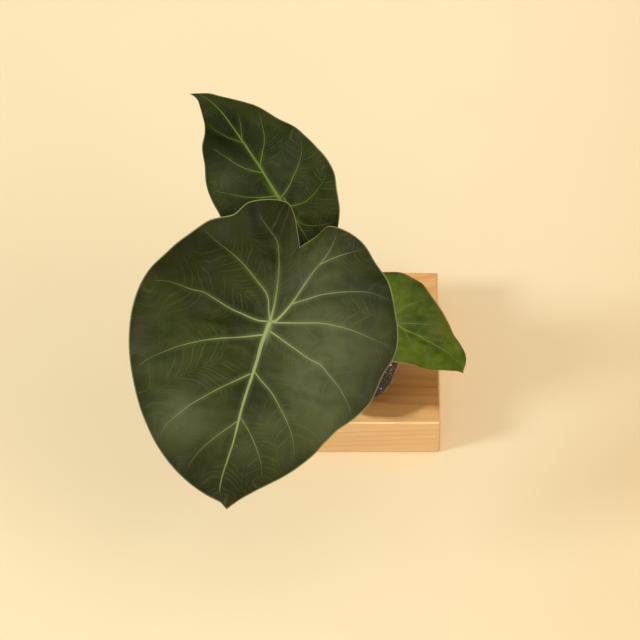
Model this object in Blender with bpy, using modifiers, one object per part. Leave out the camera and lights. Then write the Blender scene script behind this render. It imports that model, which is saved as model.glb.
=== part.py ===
"""Potted alocasia: three shield-shaped leaves in a clear nursery pot on a wooden block.

Frame: metres, +X right, +Y back, +Z up, origin at the middle of the block's bottom face.
Each leaf has its own frame at the navel, where the petiole joins the blade: +y runs to the tip,
+z is the upper face, and +x is on the right hand of someone who looks down on the leaf tip-first.
"""

import math

import bmesh
import bpy
from mathutils import Matrix, Vector

MM = 0.001
GAP = 0.0003                      # air between touching pieces

# Wooden block that the pot stands on
BLOCK_SIDE = 0.166
BLOCK_HEIGHT = 0.040
BLOCK_EDGE = 0.0015

# Clear nursery pot, a squat 105 mm size
POT_CENTRE = Vector((0.007, -0.028, BLOCK_HEIGHT + GAP))
POT_HEIGHT = 0.070
RIM_RADIUS = 0.053
BASE_RADIUS = 0.038
WALL = 0.0009
FLOOR = 0.0012
RIM_BAND = 0.011                  # height of the stepped-out band under the rim
RIM_STEP = 0.0016
DRAIN_COUNT = 8
DRAIN_RADIUS = 0.0042
DRAIN_CENTRE = 0.0352             # distance of each drain hole from the pot's axis
DRAIN_RISE = 0.006                # how far a drain hole climbs the wall

# Potting mix and the base of the stem
SOIL_LEVEL = 0.0575               # above the pot's underside
SOIL_CROWN = 0.0015
STEM_HEIGHT = 0.026
STEM_PROFILE = [(9.2, 26.0), (10.4, 25.2), (11.2, 22.0), (11.8, 15.0), (13.0, 8.0), (13.2, 3.0), (12.2, 0.0)]

SEGMENTS = 48
LEAF_SKIN = 0.0009
CROWDING = 0.45                   # sets the blade's columns closer together at its tip and its sinus
HOOK_START = 0.90                 # share of the way to the tip where the drip tip starts to bend
PETIOLE_STEPS = 26

# Reach of each blade from its navel: (degrees away from the tip, millimetres), down to the sinus
# between the two back lobes. "right" is the +x side, "left" the -x side.
LEAVES = {
    "leaf_large": {
        "navel": (-0.0580, -0.1455, 0.2458), "face": (0.03, -0.56, 0.83), "heading": -106.7,
        "right": [(0, 153.5), (2, 149.5), (6, 148), (16, 142.5), (26, 136), (37, 128.5), (53, 119.5), (69, 114.5),
                  (94, 108.5), (112, 101), (125, 97), (134, 96.5), (147, 92.5), (157, 100), (167, 101.5),
                  (174, 99), (178, 91), (182, 79), (187.6, 65)],
        "left": [(0, 153.5), (2, 149), (5, 143), (11, 133.5), (24, 120), (33, 112), (39, 106.5), (47, 103),
                 (63, 104), (78, 100.5), (92, 104.5), (111, 101.5), (122, 101.5), (135, 98.5), (144, 100),
                 (155, 97), (163, 91.5), (166, 78.5), (172.4, 65)],
        "tip_droop": 24, "lobe_droop": 14, "side_droop": 13, "fold": 10, "ripple": 3, "waves": 6, "phase": 0.6,
        "hook": -3, "columns": 60, "rings": 8},
    "leaf_upper": {
        "navel": (-0.0513, -0.0230, 0.2572), "face": (-0.05, -0.45, 0.89), "heading": 128.1,
        "right": [(0, 119), (2, 113), (9, 97.5), (21, 82.5), (33, 69), (57, 57), (76, 51), (98, 50), (118, 48),
                  (146, 53), (158, 56), (170, 58), (182, 57), (190, 52), (195, 45), (197, 34)],
        "left": [(0, 119), (3, 107), (5, 99), (8, 90), (13, 82.5), (19, 78), (29, 68), (45, 60), (58, 54.5), (72, 50.5),
                 (93, 49), (118, 51), (140, 55), (152, 52), (159, 44), (163, 34)],
        "tip_droop": 16, "lobe_droop": 10, "side_droop": 9, "fold": 12, "ripple": 1.8, "waves": 5, "phase": 1.0,
        "hook": -7, "columns": 48, "rings": 7},
    "leaf_small": {
        "navel": (0.0383, -0.0652, 0.1565), "face": (0.28, -0.50, 0.82), "heading": -19.9,
        "right": [(0, 80.5), (2, 78), (5, 73), (12, 63.5), (23, 53), (33, 44), (48, 38.5), (70, 36), (95, 37), (125, 38),
                  (150, 39), (165, 36), (173, 29), (180, 25)],
        "left": [(0, 80.5), (2, 79.8), (5, 79), (11, 70.5), (19, 59.5), (30, 51.5), (46, 44.5), (61, 41.5), (86, 40),
                 (105, 38.5), (127, 37.5), (150, 39), (163, 37), (172, 30), (180, 25)],
        "tip_droop": 10, "lobe_droop": 6, "side_droop": 5, "fold": 7, "ripple": 1.2, "waves": 5, "phase": 0.0,
        "hook": 3, "columns": 44, "rings": 6},
}

# Each petiole: its foot beside the stem's axis, points it passes, its last points straight below
# the navel, and its radius at foot and navel.
PETIOLES = {
    "petiole_large": {"leaf": "leaf_large", "foot": (-0.0046, -0.0028),
                      "via": [(-0.003, -0.041, 0.176), (-0.018, -0.068, 0.203), (-0.038, -0.104, 0.220)],
                      "drops": (0.010, 0.005), "radius": (0.0046, 0.0026)},
    "petiole_upper": {"leaf": "leaf_upper", "foot": (0.0006, 0.0056),
                      "via": [(0.005, -0.019, 0.170), (-0.006, -0.015, 0.200), (-0.026, -0.014, 0.225)],
                      "drops": (0.011, 0.005), "radius": (0.0038, 0.0021)},
    "petiole_small": {"leaf": "leaf_small", "foot": (0.0052, -0.0036),
                      "via": [(0.019, -0.040, 0.144)],
                      "drops": (0.008, 0.004), "radius": (0.0030, 0.0016)},
}


def clear_scene():
    """Remove whatever the file starts with."""
    for obj in list(bpy.data.objects):
        bpy.data.objects.remove(obj, do_unlink=True)


def make_collection(name):
    """Return a new collection linked to the scene."""
    collection = bpy.data.collections.new(name)
    bpy.context.scene.collection.children.link(collection)
    return collection


def make_material(name, colour, roughness, alpha=1.0, transmission=0.0):
    """Return a Principled material; alpha shows in the colour of clear plastic."""
    material = bpy.data.materials.new(name)
    material.use_nodes = True
    shader = material.node_tree.nodes["Principled BSDF"]
    shader.inputs["Base Color"].default_value = (*colour, 1.0)
    shader.inputs["Roughness"].default_value = roughness
    shader.inputs["Metallic"].default_value = 0.0
    shader.inputs["Transmission Weight"].default_value = transmission
    shader.inputs["Alpha"].default_value = alpha
    return material


def add_object(name, mesh, material, collection):
    """Put a mesh in the collection as a named object with one material."""
    mesh.name = name
    obj = bpy.data.objects.new(name, mesh)
    obj.data.materials.append(material)
    collection.objects.link(obj)
    return obj


def mesh_from(bm):
    """Turn a bmesh into a smooth-shaded mesh."""
    mesh = bpy.data.meshes.new("mesh")
    bm.to_mesh(mesh)
    bm.free()
    mesh.shade_smooth()
    return mesh


def turned(name, profile, place, material, collection):
    """Turn a profile of (radius, height) metres about a vertical axis with a Screw modifier."""
    bm = bmesh.new()
    vertices = [bm.verts.new((radius, 0.0, height)) for radius, height in profile]
    for first, second in zip(vertices, vertices[1:]):
        bm.edges.new((first, second))
    obj = add_object(name, mesh_from(bm), material, collection)
    obj.location = place
    screw = obj.modifiers.new("Turn", "SCREW")
    screw.axis = "Z"
    screw.steps = SEGMENTS
    screw.render_steps = SEGMENTS
    screw.use_merge_vertices = True
    screw.merge_threshold = 0.00001
    screw.use_smooth_shade = True
    return obj


def wooden_block(material, collection):
    """The solid square block, its edges eased."""
    bm = bmesh.new()
    bmesh.ops.create_cube(bm, size=1.0)
    bmesh.ops.scale(bm, verts=bm.verts, vec=(BLOCK_SIDE, BLOCK_SIDE, BLOCK_HEIGHT))
    bmesh.ops.translate(bm, verts=bm.verts, vec=(0.0, 0.0, BLOCK_HEIGHT / 2))
    block = add_object("wood_block", mesh_from(bm), material, collection)
    bevel = block.modifiers.new("Eased edges", "BEVEL")
    bevel.width = BLOCK_EDGE
    bevel.segments = 2
    block.data.set_sharp_from_angle(angle=math.radians(40))


def wall_radius(height):
    """Outer radius of the pot's tapered wall at a height above its underside, below the rim band."""
    share = height / (POT_HEIGHT - RIM_BAND)
    top = RIM_RADIUS - RIM_STEP - 0.0006
    return BASE_RADIUS + share * (top - BASE_RADIUS)


def nursery_pot(material, collection, cutters):
    """Thin tapered wall with a stepped rim band, a flat floor and drain holes at its corner."""
    band = POT_HEIGHT - RIM_BAND
    profile = [
        (0.0, FLOOR), (BASE_RADIUS - WALL - 0.0012, FLOOR), (wall_radius(0.0022) - WALL, 0.0022),
        (wall_radius(band) - WALL, band), (RIM_RADIUS - WALL - 0.0006, band + 0.0012),
        (RIM_RADIUS - WALL, POT_HEIGHT - 0.0004), (RIM_RADIUS - 0.0006, POT_HEIGHT),
        (RIM_RADIUS, POT_HEIGHT - 0.0004), (RIM_RADIUS - 0.0006, band + 0.0004),
        (wall_radius(band - 0.0008), band - 0.0008), (wall_radius(0.0012), 0.0012),
        (BASE_RADIUS - 0.0010, 0.0), (0.0, 0.0)]
    pot = turned("nursery_pot", profile, POT_CENTRE, material, collection)

    bm = bmesh.new()
    depth = DRAIN_RISE + 0.002
    for index in range(DRAIN_COUNT):
        angle = 2 * math.pi * index / DRAIN_COUNT
        spot = Vector((DRAIN_CENTRE * math.cos(angle), DRAIN_CENTRE * math.sin(angle), DRAIN_RISE - depth / 2))
        bmesh.ops.create_cone(bm, cap_ends=True, segments=16, radius1=DRAIN_RADIUS, radius2=DRAIN_RADIUS,
                              depth=depth, matrix=Matrix.Translation(spot))
    drains = add_object("drain_cutter", mesh_from(bm), material, cutters)
    drains.location = POT_CENTRE
    drains.display_type = "WIRE"
    drains.hide_render = True
    cut = pot.modifiers.new("Drain holes", "BOOLEAN")
    cut.operation = "DIFFERENCE"
    cut.solver = "EXACT"
    cut.object = drains


def root_ball(material, collection):
    """Potting mix and roots, filling the pot up to its soil level with a gap to the wall."""
    inner = [(wall_radius(height) - WALL - GAP, height) for height in (0.0030, SOIL_LEVEL - 0.0012)]
    profile = [
        (0.0, SOIL_LEVEL + SOIL_CROWN), (0.018, SOIL_LEVEL + SOIL_CROWN), (0.034, SOIL_LEVEL + 0.0006),
        (inner[1][0] - 0.0014, SOIL_LEVEL), (inner[1][0], inner[1][1]),
        (inner[0][0], inner[0][1]), (inner[0][0] - 0.0016, FLOOR + GAP), (0.0, FLOOR + GAP)]
    turned("root_ball", profile, POT_CENTRE, material, collection)


def stem_base(material, collection):
    """Short swollen foot of the plant, standing on the crown of the soil."""
    foot = POT_CENTRE + Vector((0.0, 0.0, SOIL_LEVEL + SOIL_CROWN + GAP))
    profile = [(0.0, STEM_HEIGHT)] + [(radius * MM, height * MM) for radius, height in STEM_PROFILE] + [(0.0, 0.0)]
    turned("stem_base", profile, foot, material, collection)


def reach_at(points, degrees):
    """Reach of the blade at an angle, on a monotone cubic through its (degrees, millimetres) points."""
    slopes = [(b[1] - a[1]) / (b[0] - a[0]) for a, b in zip(points, points[1:])]
    tangents = [slopes[0]] + [
        0.0 if first * second <= 0 else 2 * first * second / (first + second)
        for first, second in zip(slopes, slopes[1:])] + [slopes[-1]]
    for index, ((angle_a, reach_a), (angle_b, reach_b)) in enumerate(zip(points, points[1:])):
        if degrees <= angle_b or index == len(slopes) - 1:
            span = angle_b - angle_a
            t = min(max((degrees - angle_a) / span, 0.0), 1.0)
            ends = (2 * t**3 - 3 * t**2 + 1) * reach_a + (3 * t**2 - 2 * t**3) * reach_b
            bends = (t**3 - 2 * t**2 + t) * tangents[index] + (t**3 - t**2) * tangents[index + 1]
            return ends + bends * span
    return points[-1][1]


def blade_height(leaf, x, y, share, angle):
    """Height of the blade's upper face in its own frame, in millimetres.

    The tip, the back lobes and the sides droop as squares of the distance, the blade folds up from
    its midrib, and the margin ripples.
    """
    tip = leaf["right"][0][1]
    lobe = 0.62 * tip
    half = 0.70 * tip
    along = leaf["tip_droop"] * (y / tip)**2 if y > 0 else leaf["lobe_droop"] * (y / lobe)**2
    across = leaf["fold"] * (math.sqrt((x / half)**2 + 0.01) - 0.1) - leaf["side_droop"] * (x / half)**2
    return across - along + leaf["ripple"] * share**4 * math.sin(leaf["waves"] * angle + leaf["phase"])


def leaf_frame(leaf):
    """Matrix that places the leaf's own frame, with its face upwards and its tip on the heading."""
    face = Vector(leaf["face"]).normalized()
    heading = math.radians(leaf["heading"])
    flat = Vector((math.cos(heading), math.sin(heading), 0.0))
    tip = Vector((flat.x, flat.y, -flat.dot(face) / face.z)).normalized()
    side = tip.cross(face)
    matrix = Matrix((side, tip, face)).transposed().to_4x4()
    matrix.translation = Vector(leaf["navel"])
    return matrix


def crowded(share):
    """Bend an even spacing from 0 to 1 so that its steps are shorter at both ends."""
    return share - CROWDING * math.sin(2 * math.pi * share) / (2 * math.pi)


def leaf_blade(name, leaf, material, collection):
    """A grid wrapped round the navel, from the sinus past the tip and back, thickened downwards."""
    columns, rings = leaf["columns"], leaf["rings"]
    left_end, right_end = leaf["left"][-1][0], leaf["right"][-1][0]
    bm = bmesh.new()
    bmesh.ops.create_grid(bm, x_segments=columns, y_segments=rings, size=0.5)
    for vertex in bm.verts:
        share = vertex.co.y + 0.5
        is_right = vertex.co.x >= 0
        turn = crowded(abs(2 * vertex.co.x)) * (right_end if is_right else left_end)
        reach = reach_at(leaf["right"] if is_right else leaf["left"], turn) * share
        angle = math.radians(turn if is_right else -turn)
        x, y = reach * math.sin(angle), reach * math.cos(angle)
        height = blade_height(leaf, x, y, share, angle)
        x += leaf["hook"] * max(y / leaf["right"][0][1] - HOOK_START, 0.0)**2 / (1 - HOOK_START)**2
        vertex.co = Vector((x, y, height)) * MM
    bmesh.ops.remove_doubles(bm, verts=bm.verts, dist=0.00001)
    bmesh.ops.dissolve_degenerate(bm, edges=bm.edges, dist=0.00001)
    bmesh.ops.recalc_face_normals(bm, faces=bm.faces)
    if sum(face.normal.z for face in bm.faces) < 0:
        bmesh.ops.reverse_faces(bm, faces=bm.faces)
    blade = add_object(name, mesh_from(bm), material, collection)
    blade.matrix_world = leaf_frame(leaf)
    solidify = blade.modifiers.new("Blade thickness", "SOLIDIFY")
    solidify.thickness = LEAF_SKIN
    solidify.offset = -1.0


def smooth_route(points, steps):
    """Points along a Catmull-Rom curve through the given points."""
    padded = [points[0] * 2 - points[1]] + points + [points[-1] * 2 - points[-2]]
    route = []
    for step in range(steps + 1):
        where = step / steps * (len(points) - 1)
        index = min(int(where), len(points) - 2)
        t = where - index
        a, b, c, d = padded[index:index + 4]
        route.append(0.5 * (2 * b + (c - a) * t + (2 * a - 5 * b + 4 * c - d) * t**2
                            + (3 * b - 3 * c + d - a) * t**3))
    return route


def petiole(name, spec, material, collection):
    """A tapered stalk from the top of the stem base to the underside of its blade."""
    top = POT_CENTRE.z + SOIL_LEVEL + SOIL_CROWN + GAP + STEM_HEIGHT + GAP
    foot = Vector((POT_CENTRE.x + spec["foot"][0], POT_CENTRE.y + spec["foot"][1], top))
    frame = leaf_frame(LEAVES[spec["leaf"]])
    under = [frame @ Vector((0.0, 0.0, -drop)) for drop in (*spec["drops"], LEAF_SKIN + 2 * GAP)]
    rise = [foot + Vector((0.0, 0.0, height)) for height in (0.0, 0.003, 0.010)]
    route = smooth_route(rise + [Vector(point) for point in spec["via"]] + under, PETIOLE_STEPS)
    curve = bpy.data.curves.new(name, "CURVE")
    curve.dimensions = "3D"
    curve.bevel_depth = 1.0
    curve.bevel_resolution = 3
    curve.use_fill_caps = True
    spline = curve.splines.new("POLY")
    spline.points.add(len(route) - 1)
    for index, (point, place) in enumerate(zip(spline.points, route)):
        share = index / (len(route) - 1)
        point.co = (*place, 1.0)
        point.radius = spec["radius"][0] + (spec["radius"][1] - spec["radius"][0]) * share
    stalk = bpy.data.objects.new(name, curve)
    stalk.data.materials.append(material)
    collection.objects.link(stalk)


def main():
    """Build the whole plant, its pot and its block."""
    clear_scene()
    parts = make_collection("potted_alocasia")
    cutters = make_collection("cutters")
    wood = make_material("wood", (0.72, 0.46, 0.23), 0.55)
    clear_plastic = make_material("clear_plastic", (0.85, 0.87, 0.86), 0.12, alpha=0.35, transmission=0.9)
    soil = make_material("potting_mix", (0.045, 0.028, 0.020), 0.95)
    bark = make_material("stem_skin", (0.16, 0.15, 0.06), 0.70)
    stalk = make_material("petiole_skin", (0.16, 0.22, 0.07), 0.45)
    dark_leaf = make_material("leaf_dark", (0.045, 0.060, 0.025), 0.38)
    young_leaf = make_material("leaf_young", (0.060, 0.110, 0.020), 0.38)

    wooden_block(wood, parts)
    nursery_pot(clear_plastic, parts, cutters)
    root_ball(soil, parts)
    stem_base(bark, parts)
    for name, spec in PETIOLES.items():
        petiole(name, spec, stalk, parts)
    for name, leaf in LEAVES.items():
        leaf_blade(name, leaf, young_leaf if name == "leaf_small" else dark_leaf, parts)


main()
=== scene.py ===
"""Looks of the potted alocasia: fine surfaces, finishes, a pale floor, soft light and a camera.

The plant stands in a clear nursery pot on a wooden block. Every new piece is a surface worked out
with numpy in the frame's own metres (+Z up, the block's underside at Z = 0) and rides on the body
"root". Blades and their veins are drawn in millimetres in the leaf's own frame: the navel, where
the petiole joins the blade, is its origin, +y runs to the tip and +z is the upper face.
"""

from __future__ import annotations

import logging
import math
from dataclasses import dataclass
from enum import Enum

import bmesh
import bpy
import numpy as np
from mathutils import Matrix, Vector


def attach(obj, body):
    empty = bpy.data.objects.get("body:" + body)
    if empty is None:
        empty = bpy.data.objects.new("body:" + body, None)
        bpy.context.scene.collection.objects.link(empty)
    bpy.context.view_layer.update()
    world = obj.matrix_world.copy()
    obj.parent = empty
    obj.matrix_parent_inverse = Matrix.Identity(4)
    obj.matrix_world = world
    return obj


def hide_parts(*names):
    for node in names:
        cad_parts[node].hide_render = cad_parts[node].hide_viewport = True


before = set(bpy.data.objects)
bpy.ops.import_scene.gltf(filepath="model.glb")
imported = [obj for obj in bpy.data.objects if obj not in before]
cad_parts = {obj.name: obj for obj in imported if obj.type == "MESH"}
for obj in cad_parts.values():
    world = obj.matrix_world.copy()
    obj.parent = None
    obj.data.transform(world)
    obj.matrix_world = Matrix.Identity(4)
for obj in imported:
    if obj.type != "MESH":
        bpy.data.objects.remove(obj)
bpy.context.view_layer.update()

LOG = logging.getLogger("potted_alocasia")
BODY = "root"
MM = 0.001
TURN = 2 * math.pi
Array = np.ndarray
Material = bpy.types.Material
Rows = tuple[tuple[float, ...], ...]
Place = tuple[float, float, float]


class Slot(Enum):
    """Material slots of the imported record."""

    WOOD = "wood"
    CLEAR = "clear_plastic"
    MIX = "potting_mix"
    STEM = "stem_skin"
    STALK = "petiole_skin"
    DARK_LEAF = "leaf_dark"
    YOUNG_LEAF = "leaf_young"


# ---- numbers and curves


def eased(low: float, high: float, value: Array) -> Array:
    """Smooth step from 0 at low to 1 at high: 3t^2 - 2t^3 of the clamped share t."""
    t = np.clip((value - low) / (high - low), 0.0, 1.0)
    return t * t * (3 - 2 * t)


def unit(vectors: Array) -> Array:
    """The same directions, each one long."""
    return vectors / np.linalg.norm(vectors, axis=-1, keepdims=True)


def lengths(path: Array) -> Array:
    """Length of the path so far at each of its places."""
    return np.concatenate([[0.0], np.cumsum(np.linalg.norm(np.diff(path, axis=0), axis=1))])


def turned(far: Array, turn: Array, *height: Array) -> Array:
    """Places at a distance and an angle from the axis, with a height where one is given."""
    return np.column_stack([far * np.cos(turn), far * np.sin(turn), *height])


def wander(points: Array, size: float, seed: int, waves: int = 14) -> Array:
    """Smooth random field of unit spread: a sum of cosines of one wavelength, random in direction.

    Args:
        points: (n, 2) or (n, 3) places.
        size: wavelength, in the unit of the points.
        seed: picks the directions and phases.
        waves: how many cosines are summed.

    Returns:
        (n,) values, mostly between -1.5 and 1.5.
    """
    draw = np.random.default_rng(seed)
    way = draw.normal(size=(waves, points.shape[1]))
    way *= TURN / size * draw.uniform(0.7, 1.3, (waves, 1)) / np.linalg.norm(way, axis=1, keepdims=True)
    return np.cos(points @ way.T + draw.uniform(0, TURN, waves)).sum(axis=1) * math.sqrt(2 / waves)


def through(points: Array, count: int) -> Array:
    """Catmull-Rom curve through the points, read at count even steps of its parameter.

    Args:
        points: (n, d) places the curve passes.
        count: how many places to return.

    Returns:
        (count, d) places.
    """
    padded = np.vstack([2 * points[0] - points[1], points, 2 * points[-1] - points[-2]])
    where = np.linspace(0, len(points) - 1, count)
    index = np.minimum(where.astype(int), len(points) - 2)
    t = (where - index)[:, None]
    a, b, c, d = (padded[index + step] for step in range(4))
    return 0.5 * (2 * b + (c - a) * t + (2 * a - 5 * b + 4 * c - d) * t**2 + (3 * b - 3 * c + d - a) * t**3)


def evenly(points: Array, count: int) -> Array:
    """The same path read at count places an equal length apart.

    Args:
        points: (n, d) places of the path.
        count: how many places to return.

    Returns:
        (count, d) places.
    """
    length = lengths(points)
    at = np.linspace(0, length[-1], count)
    return np.column_stack([np.interp(at, length, column) for column in points.T])


def reach_at(table: Array, degrees: Array) -> Array:
    """Monotone cubic through rows of (degrees, reach), with harmonic means as its slopes.

    Args:
        table: (n, 2) rows in order of the angle.
        degrees: (m,) angles.

    Returns:
        (m,) reach, in the unit of the table.
    """
    at, reach = table.T
    slope = np.diff(reach) / np.diff(at)
    product = slope[:-1] * slope[1:]
    total = np.where(product > 0, slope[:-1] + slope[1:], 1.0)
    tangent = np.concatenate([slope[:1], np.where(product > 0, 2 * product / total, 0.0), slope[-1:]])
    index = np.clip(np.searchsorted(at, degrees) - 1, 0, len(slope) - 1)
    span = at[index + 1] - at[index]
    t = np.clip((degrees - at[index]) / span, 0.0, 1.0)
    ends = (2 * t**3 - 3 * t**2 + 1) * reach[index] + (3 * t**2 - 2 * t**3) * reach[index + 1]
    bends = (t**3 - 2 * t**2 + t) * tangent[index] + (t**3 - t**2) * tangent[index + 1]
    return ends + bends * span


# ---- mesh building


@dataclass
class Surface:
    """Places, faces and named values per place, gathered until they become one piece.

    Fields:
        points: (n, 3) places in metres.
        faces: arrays of corner indices, (m, 3) or (m, 4).
        values: name to (n,) or (n, 3) values.
        finish: material index of each face array.
    """

    points: Array
    faces: list[Array]
    values: dict[str, Array]
    finish: list[int]

    @staticmethod
    def joined(parts: list[Surface]) -> Surface:
        """All the parts as one, their indices shifted one after another.

        Args:
            parts: surfaces that carry the same values.

        Returns:
            One surface.
        """
        shifts = np.cumsum([0] + [len(part.points) for part in parts[:-1]])
        faces = [face + shift for part, shift in zip(parts, shifts) for face in part.faces]
        values = {name: np.concatenate([part.values[name] for part in parts]) for name in parts[0].values}
        finish = [index for part in parts for index in part.finish]
        return Surface(np.vstack([part.points for part in parts]), faces, values, finish)

    def piece(self, name: str, slot: Slot, materials: list[Material], *stands_for: str) -> bpy.types.Object:
        """Make the object, smooth shaded.

        Args:
            name, slot, materials, stands_for: the same as for place().

        Returns:
            The new object.
        """
        mesh = bpy.data.meshes.new(name)
        mesh.vertices.add(len(self.points))
        mesh.vertices.foreach_set("co", self.points.astype(np.float32).ravel())
        corners = np.concatenate([face.ravel() for face in self.faces]).astype(np.int32)
        sizes = np.concatenate([np.full(len(face), face.shape[1]) for face in self.faces])
        mesh.loops.add(len(corners))
        mesh.loops.foreach_set("vertex_index", corners)
        mesh.polygons.add(len(sizes))
        mesh.polygons.foreach_set("loop_start", np.concatenate([[0], np.cumsum(sizes)[:-1]]).astype(np.int32))
        index = np.concatenate([np.full(len(face), which) for face, which in zip(self.faces, self.finish)])
        mesh.polygons.foreach_set("material_index", index.astype(np.int32))
        mesh.update(calc_edges=True)
        mesh.shade_smooth()
        for label, value in self.values.items():
            kind, key = ("FLOAT", "value") if value.ndim == 1 else ("FLOAT_VECTOR", "vector")
            mesh.attributes.new(label, kind, "POINT").data.foreach_set(key, value.astype(np.float32).ravel())
        return place(name, mesh, slot, materials, *stands_for)


def place(name: str, mesh: bpy.types.Mesh, slot: Slot, materials: list[Material],
          *stands_for: str) -> bpy.types.Object:
    """Link a mesh as a piece of the object, riding on the root body.

    Args:
        name, mesh: the object's name and its mesh, placed in the frame.
        slot, materials: material slot of the record, which is not used, and materials by index.
        stands_for: CAD nodes that this piece replaces.

    Returns:
        The new object.
    """
    obj = bpy.data.objects.new(name, mesh)
    for material in materials:
        mesh.materials.append(material)
    bpy.context.scene.collection.objects.link(obj)
    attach(obj, BODY)
    if stands_for:
        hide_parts(*stands_for)
    LOG.info("%s: %d faces", name, len(mesh.polygons))
    return obj


def band(rows: int, columns: int, start: int = 0) -> Array:
    """Quads of a grid of rows that each close into a loop.

    Args:
        rows, columns: how many loops, and places in each.
        start: index of the first place.

    Returns:
        (faces, 4) corner indices, facing out where the loops run anticlockwise and rows upwards.
    """
    row, column = np.meshgrid(np.arange(rows - 1), np.arange(columns), indexing="ij")
    after = (column + 1) % columns
    quads = np.stack([row * columns + column, row * columns + after,
                      (row + 1) * columns + after, (row + 1) * columns + column], axis=-1)
    return quads.reshape(-1, 4) + start


def fan(centre: int, first: int, columns: int, flip: bool = False) -> Array:
    """Triangles from a centre to a loop of places.

    Args:
        centre, first: index of the centre and of the loop's first place.
        columns: places in the loop.
        flip: whether the faces are turned over.

    Returns:
        (columns, 3) corner indices.
    """
    column = np.arange(columns)
    after = (column + 1) % columns
    ring = [after, column] if flip else [column, after]
    return np.stack([np.full(columns, centre), ring[0] + first, ring[1] + first], axis=-1)


def revolved(profile: Array, segments: int) -> tuple[Array, list[Array]]:
    """Turn a profile about Z: (r, z) at angle a goes to (r cos a, r sin a, z).

    Args:
        profile: (n, 2) rows from the bottom of the axis, outwards, up and back to the axis. The
            first and last rows lie on the axis.
        segments: places round the axis.

    Returns:
        Places and face arrays of the closed surface, its faces pointing out.
    """
    angle = np.arange(segments) * TURN / segments
    inner = profile[1:-1]
    ring = np.stack([inner[:, :1] * np.cos(angle), inner[:, :1] * np.sin(angle),
                     np.repeat(inner[:, 1:], segments, axis=1)], axis=-1).reshape(-1, 3)
    points = np.vstack([ring, [[0, 0, profile[0, 1]], [0, 0, profile[-1, 1]]]])
    last = (len(inner) - 1) * segments
    caps = [fan(len(ring), 0, segments, flip=True), fan(len(ring) + 1, last, segments)]
    return points, [band(len(inner), segments), *caps]


def tube(path: Array, radius: Array, sides: int) -> Surface:
    """Carry a circle along a path: path + radius * (cos a * across + sin a * up).

    Both directions are square to the path and turn as little as they can.

    Args:
        path: (n, 3) centreline in metres.
        radius: (n,) radius at each place of the path.
        sides: places round the circle.

    Returns:
        A closed tube with the vector "strand": (cos a, sin a, length so far in metres).
    """
    forward = unit(np.gradient(path, axis=0))
    across = np.empty_like(path)
    across[0] = unit(np.cross(forward[0], [0.0, 1.0, 0.2]))
    for step in range(1, len(path)):
        across[step] = unit(across[step - 1] - forward[step] * (across[step - 1] @ forward[step]))
    up = np.cross(forward, across)
    angle = np.arange(sides) * TURN / sides
    wide = np.cos(angle)[None, :, None] * across[:, None, :] + np.sin(angle)[None, :, None] * up[:, None, :]
    ring = (path[:, None, :] + radius[:, None, None] * wide).reshape(-1, 3)
    length = lengths(path)
    strand = np.stack([np.tile(np.cos(angle), len(path)), np.tile(np.sin(angle), len(path)),
                       np.repeat(length, sides)], axis=-1)
    points = np.vstack([ring, path[:1], path[-1:]])
    strand = np.vstack([strand, [[0, 0, 0]], [[0, 0, length[-1]]]])
    last = (len(path) - 1) * sides
    faces = [band(len(path), sides), fan(len(ring), 0, sides, flip=True), fan(len(ring) + 1, last, sides)]
    return Surface(points, faces, {"strand": strand}, [0, 0, 0])


def sheet(outer: Array, inner: Array, strand: Array, foot: Array) -> Surface:
    """Closed thin sheet between two grids of places, joined along their edges.

    Args:
        outer, inner: (rows, columns, 3) places of its two faces.
        strand: (rows * 2 columns, 3) values, each row first outside and then back inside.
        foot: the same places' dryness.

    Returns:
        The closed sheet.
    """
    rows, columns = outer.shape[:2]
    count = 2 * columns
    loop = np.concatenate([outer, inner[:, ::-1]], axis=1)
    strip = np.arange(columns - 1)
    after, back = strip + 1, count - 1 - strip
    low = np.stack([after, strip, back, back - 1], axis=-1)
    high = np.stack([strip, after, back - 1, back], axis=-1) + (rows - 1) * count
    values = {"strand": strand, "foot": foot}
    return Surface(loop.reshape(-1, 3), [band(rows, count), low, high], values, [0, 0, 0])


def pebble_form() -> tuple[Array, Array]:
    """A ball of 26 places and 24 quads: a cube with its edges halved, blown up to a sphere.

    Returns:
        (26, 3) places on the unit sphere and (24, 4) corner indices.
    """
    bm = bmesh.new()
    bmesh.ops.create_cube(bm, size=2.0)
    bmesh.ops.subdivide_edges(bm, edges=bm.edges, cuts=1, use_grid_fill=True)
    points = np.array([vertex.co.normalized() for vertex in bm.verts])
    faces = np.array([[vertex.index for vertex in face.verts] for face in bm.faces])
    bm.free()
    return points, faces


def pebbles(places: Array, sizes: Array, seed: int, rough: float) -> Surface:
    """Scatter small uneven grains, each turned, stretched and dented at random.

    Args:
        places: (n, 3) centres.
        sizes: (n,) radii.
        seed: picks the shapes.
        rough: spread of the dents as a share of the radius.

    Returns:
        One surface of n closed grains with "grain", a random number for each.
    """
    draw = np.random.default_rng(seed)
    form, faces = pebble_form()
    count = len(places)
    turn, _ = np.linalg.qr(draw.normal(size=(count, 3, 3)))
    turn[np.linalg.det(turn) < 0, :, 0] *= -1
    stretch = draw.uniform(0.7, 1.25, (count, 1, 3))
    dents = 1 + rough * draw.uniform(-1, 1, (count, len(form), 1))
    cloud = np.einsum("nij,nkj->nki", turn, form[None] * stretch * dents) * sizes[:, None, None]
    points = (cloud + places[:, None, :]).reshape(-1, 3)
    shifts = (np.arange(count) * len(form))[:, None, None]
    grain = np.repeat(draw.uniform(0, 1, count), len(form))
    return Surface(points, [(faces[None] + shifts).reshape(-1, 4)], {"grain": grain}, [0])


# ---- shader helpers

Colour = tuple[float, float, float]
Scale = tuple[float, float, float]
Socket = bpy.types.NodeSocket


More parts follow.
